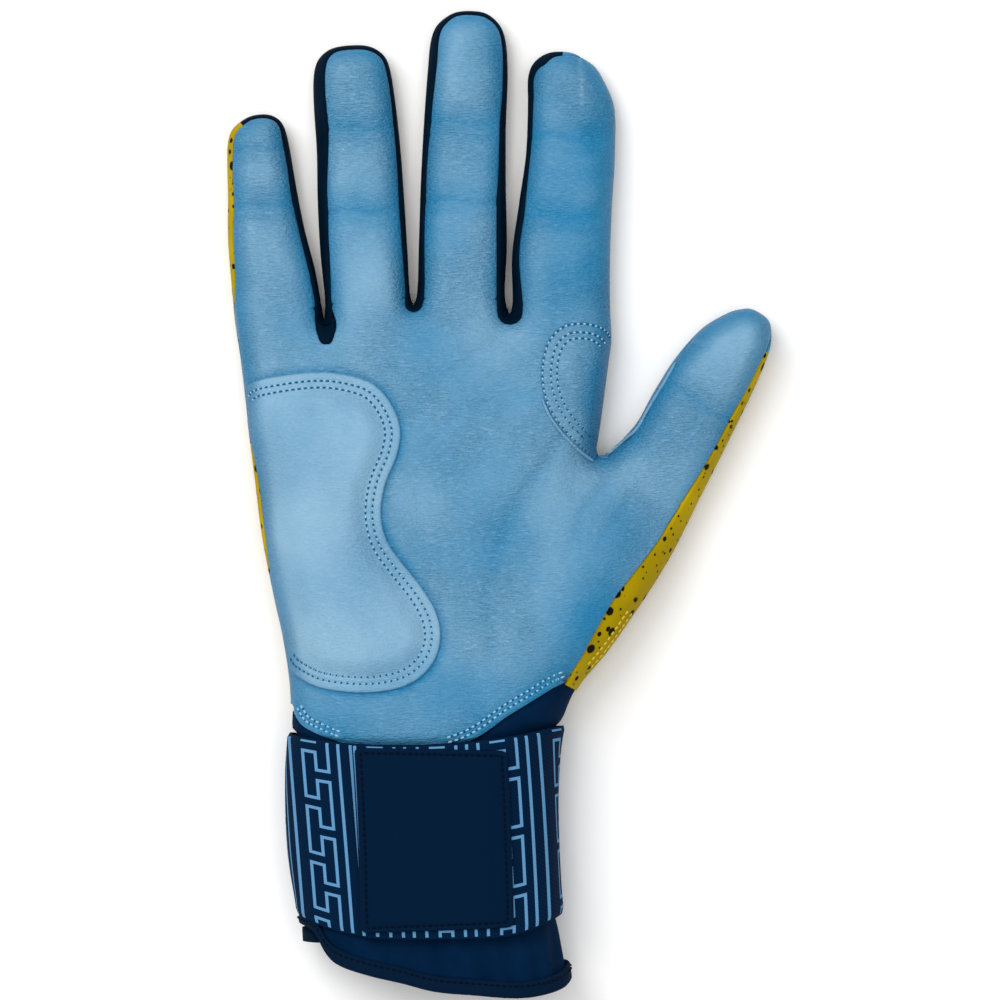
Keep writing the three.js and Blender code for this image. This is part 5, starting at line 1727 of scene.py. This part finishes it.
def stitch_tree():
    """Nodes that set stitches along the edges of a mesh: inputs Pitch, Length, Thickness and Thread."""
    name = "stitches"
    if name in bpy.data.node_groups:
        return bpy.data.node_groups[name]
    tree = bpy.data.node_groups.new(name, "GeometryNodeTree")
    face = tree.interface
    face.new_socket("Geometry", in_out="INPUT", socket_type="NodeSocketGeometry")
    for label in ("Pitch", "Length", "Thickness"):
        face.new_socket(label, in_out="INPUT", socket_type="NodeSocketFloat")
    face.new_socket("Thread", in_out="INPUT", socket_type="NodeSocketMaterial")
    face.new_socket("Geometry", in_out="OUTPUT", socket_type="NodeSocketGeometry")
    start = add_node(tree, "NodeGroupInput")
    curve = add_node(tree, "GeometryNodeMeshToCurve", {"Mesh": start.outputs["Geometry"]})
    points = add_node(tree, "GeometryNodeCurveToPoints",
                      {"Curve": curve.outputs["Curve"], "Length": start.outputs["Pitch"]}, mode="LENGTH")
    turn = add_node(tree, "FunctionNodeAlignRotationToVector",
                    {"Vector": points.outputs["Tangent"]}, axis="Z")
    thick = add_node(tree, "ShaderNodeMath", {0: start.outputs["Thickness"], 1: 0.5}, operation="MULTIPLY")
    long = add_node(tree, "ShaderNodeMath", {0: start.outputs["Length"], 1: 0.5}, operation="MULTIPLY")
    size = add_node(tree, "ShaderNodeCombineXYZ",
                    {"X": thick.outputs[0], "Y": thick.outputs[0], "Z": long.outputs[0]})
    ball = add_node(tree, "GeometryNodeMeshUVSphere", {"Segments": 8, "Rings": 6, "Radius": 1.0})
    smooth = add_node(tree, "GeometryNodeSetShadeSmooth", {"Geometry": ball.outputs["Mesh"]})
    placed = add_node(tree, "GeometryNodeInstanceOnPoints", {
        "Points": points.outputs["Points"], "Instance": smooth.outputs[0],
        "Rotation": turn.outputs["Rotation"], "Scale": size.outputs["Vector"]})
    real = add_node(tree, "GeometryNodeRealizeInstances", {"Geometry": placed.outputs["Instances"]})
    done = add_node(tree, "GeometryNodeSetMaterial",
                    {"Geometry": real.outputs["Geometry"], "Material": start.outputs["Thread"]})
    add_node(tree, "NodeGroupOutput", {"Geometry": done.outputs["Geometry"]})
    return tree


def sew(name, lines, thread, length, closed=False):
    """Stitches along lines of points, as one plain mesh."""
    points, edges = [], []
    for line in lines:
        first = len(points)
        points += list(line)
        edges += [(i, i + 1) for i in range(first, len(points) - 1)]
        if closed:
            edges.append((len(points) - 1, first))
    mesh = bpy.data.meshes.new(name)
    mesh.from_pydata(in_frame(points).tolist(), edges, [])
    piece = bpy.data.objects.new(name, mesh)
    bpy.context.scene.collection.objects.link(piece)
    modifier = piece.modifiers.new("stitches", "NODES")
    modifier.node_group = stitch_tree()
    values = {"Pitch": settings().stitch_pitch, "Length": length, "Thickness": settings().stitch_width,
              "Thread": thread}
    for item in modifier.node_group.interface.items_tree:
        if item.in_out == "INPUT" and item.name in values:
            modifier[item.identifier] = values[item.name]
    bpy.context.view_layer.update()
    made = bpy.data.meshes.new_from_object(piece.evaluated_get(bpy.context.evaluated_depsgraph_get()))
    piece.modifiers.clear()
    piece.data = made
    if not made.materials:
        made.materials.append(thread)
    return piece


class Stitches(bpy.types.Operator):
    """Rows of stitches on the overlays, the hem, the back, the tab and the binding"""
    bl_idname = "glove.stitches"
    bl_label = "Stitches"

    def execute(self, context):
        shown = settings()
        thread = finishes()
        patches = []
        for edge, rows, rise in ((HEEL, HEEL_ROWS, heel_lift), (CROTCH_ARCH, CROTCH_ROWS, crotch_lift)):
            arch, _, outline = sewn_patch(edge)
            for inset in rows:
                row = inset_line(arch, outline, inset)
                if rows is CROTCH_ROWS and inset > CROTCH_ROWS[0]:
                    row = row[row[:, 1] > CROTCH_ROW_END]
                patches.append(lifted(row, 1, rise(row) + STITCH_RISE))
        hems = []
        hem = smooth_line(on_hand(FRONT_HEM))
        for inset in HEM_ROWS:
            row = inset_line(hem, front_outline()[0], inset)
            hems += [lifted(row[row[:, 0] < HEM_ROW_ENDS[0]], 1), lifted(row[row[:, 0] > HEM_ROW_ENDS[1]], 1)]
        # Dark dashes between the stitches: painted shade in the needle holes
        hole_shades = []
        half = shown.stitch_pitch * 500
        for line in patches + hems:
            steps = np.concatenate([[0], np.cumsum(np.linalg.norm(np.diff(line, axis=0), axis=1))])
            start = [np.interp(half, steps, line[:, i]) for i in range(3)]
            hole_shades.append(np.vstack([start, line[steps > half]]))

        path, inward, _, tags = silhouette()
        low, high = BACK_ROWS_SPAN
        own = [i for i, tag in enumerate(tags) if tag == "thumb side" and low < path[i, 1] < high]
        backs = []
        for gap in BACK_ROWS:
            depth = np.full(len(own), gap)
            places = path[own] + inward[own] * gap
            backs.append(skin(places, depth, inward[own], 1, BACK_STITCH_RISE, soft=False))

        ring = ring_inside(tab_outline(), TAB_ROW)
        tab = lifted(ring, 1, TAB_LEVEL + TAB_WALL - STITCH_RISE, soft=False)
        turns = np.arange(BINDING_STITCH_POINTS) / BINDING_STITCH_POINTS
        hem_y, height = binding_height(turns)
        binding = cuff_skin(turns, hem_y + BINDING_ROW * height, BINDING_STITCH_RISE)
        for name, lines, finish, length, body, slot in (
                ("hem_stitches", hems, "light thread", shown.hem_stitch, "hand", "leather"),
                ("pale_stitches", patches, "light thread", shown.patch_stitch, "hand", "leather"),
                ("painted_hole_shade", hole_shades, "hole_shade", shown.painted_hole_dash, "hand", "leather"),
                ("yellow_stitches", backs, "yellow thread", shown.hem_stitch, "hand", "back_fabric"),
                ("tab_stitches", [tab], "navy thread", shown.hem_stitch, "strap_flap", "strap_elastic"),
                ("binding_stitches", [binding], "navy thread", shown.hem_stitch, "hand", "strap_elastic")):
            row = sew(name, lines, thread[finish], length, closed=len(lines) == 1)
            attach(row, body, [])
        return {"FINISHED"}


class Stage(bpy.types.Operator):
    """Pale floor, soft studio light and a camera that looks straight down"""
    bl_idname = "glove.stage"
    bl_label = "Stage"

    def execute(self, context):
        scene = context.scene
        mesh = bpy.data.meshes.new("floor")
        corners = [(x * FLOOR_HALF, y * FLOOR_HALF, FLOOR_LEVEL)
                   for x, y in ((-1, -1), (1, -1), (1, 1), (-1, 1))]
        mesh.from_pydata(corners, [], [(0, 1, 2, 3)])
        floor = bpy.data.objects.new("floor", mesh)
        scene.collection.objects.link(floor)
        paper, _, shader, _ = new_material("paper_floor", 0.9, 0.1)
        shader.inputs["Base Color"].default_value = opaque(settings().floor_colour)
        mesh.materials.append(paper)

        def light(name, place, size, energy):
            lamp = bpy.data.lights.new(name, "AREA")
            lamp.size = size
            lamp.energy = energy
            holder = bpy.data.objects.new(name, lamp)
            holder.location = place
            holder.rotation_euler = (-Vector(place)).to_track_quat("-Z", "Y").to_euler()
            scene.collection.objects.link(holder)

        light("key_light", *KEY_LIGHT)
        light("top_light", *TOP_LIGHT)
        world = scene.world or bpy.data.worlds.new("studio")
        scene.world = world
        world.use_nodes = True
        tree = world.node_tree
        ground = tree.nodes["Background"]
        ground.inputs["Color"].default_value = (1, 1, 1, 1)
        ground.inputs["Strength"].default_value = WORLD_LIGHT
        camera = bpy.data.cameras.new("camera")
        camera.lens = LENS
        camera.sensor_width = SENSOR
        camera.clip_start = NEAR_CLIP
        camera.clip_end = FAR_CLIP
        holder = bpy.data.objects.new("camera", camera)
        holder.location = (CAMERA_X, CAMERA_Y, GLOVE_TOP + SEEN_HALF * LENS / (SENSOR / 2))
        scene.collection.objects.link(holder)
        scene.camera = holder
        scene.view_settings.view_transform = "Standard"
        return {"FINISHED"}


class GlovePanel(bpy.types.Panel):
    bl_label = "Batting glove"
    bl_idname = "VIEW3D_PT_batting_glove"
    bl_space_type = "VIEW_3D"
    bl_region_type = "UI"
    bl_category = "Glove"

    def draw(self, context):
        layout = self.layout
        values = context.scene.glove_settings
        for name in GloveSettings.__annotations__:
            layout.prop(values, name)
        for operator in OPERATORS:
            layout.operator(operator.bl_idname)


OPERATORS = (PalmLeather, BackPanels, SideStrips, Overlays, Welts, Cuff, Strap, Tab, Stitches, Stage)


def register():
    for kind in (GloveSettings, *OPERATORS, GlovePanel):
        bpy.utils.register_class(kind)
    bpy.types.Scene.glove_settings = bpy.props.PointerProperty(type=GloveSettings)


def unregister():
    del bpy.types.Scene.glove_settings
    for kind in reversed((GloveSettings, *OPERATORS, GlovePanel)):
        bpy.utils.unregister_class(kind)


def main():
    register()
    bpy.ops.glove.palm_leather()
    bpy.ops.glove.back_panels()
    bpy.ops.glove.side_strips()
    bpy.ops.glove.overlays()
    bpy.ops.glove.welts()
    bpy.ops.glove.cuff()
    bpy.ops.glove.strap()
    bpy.ops.glove.tab()
    bpy.ops.glove.stitches()
    bpy.ops.glove.stage()


if __name__ == "__main__":
    main()
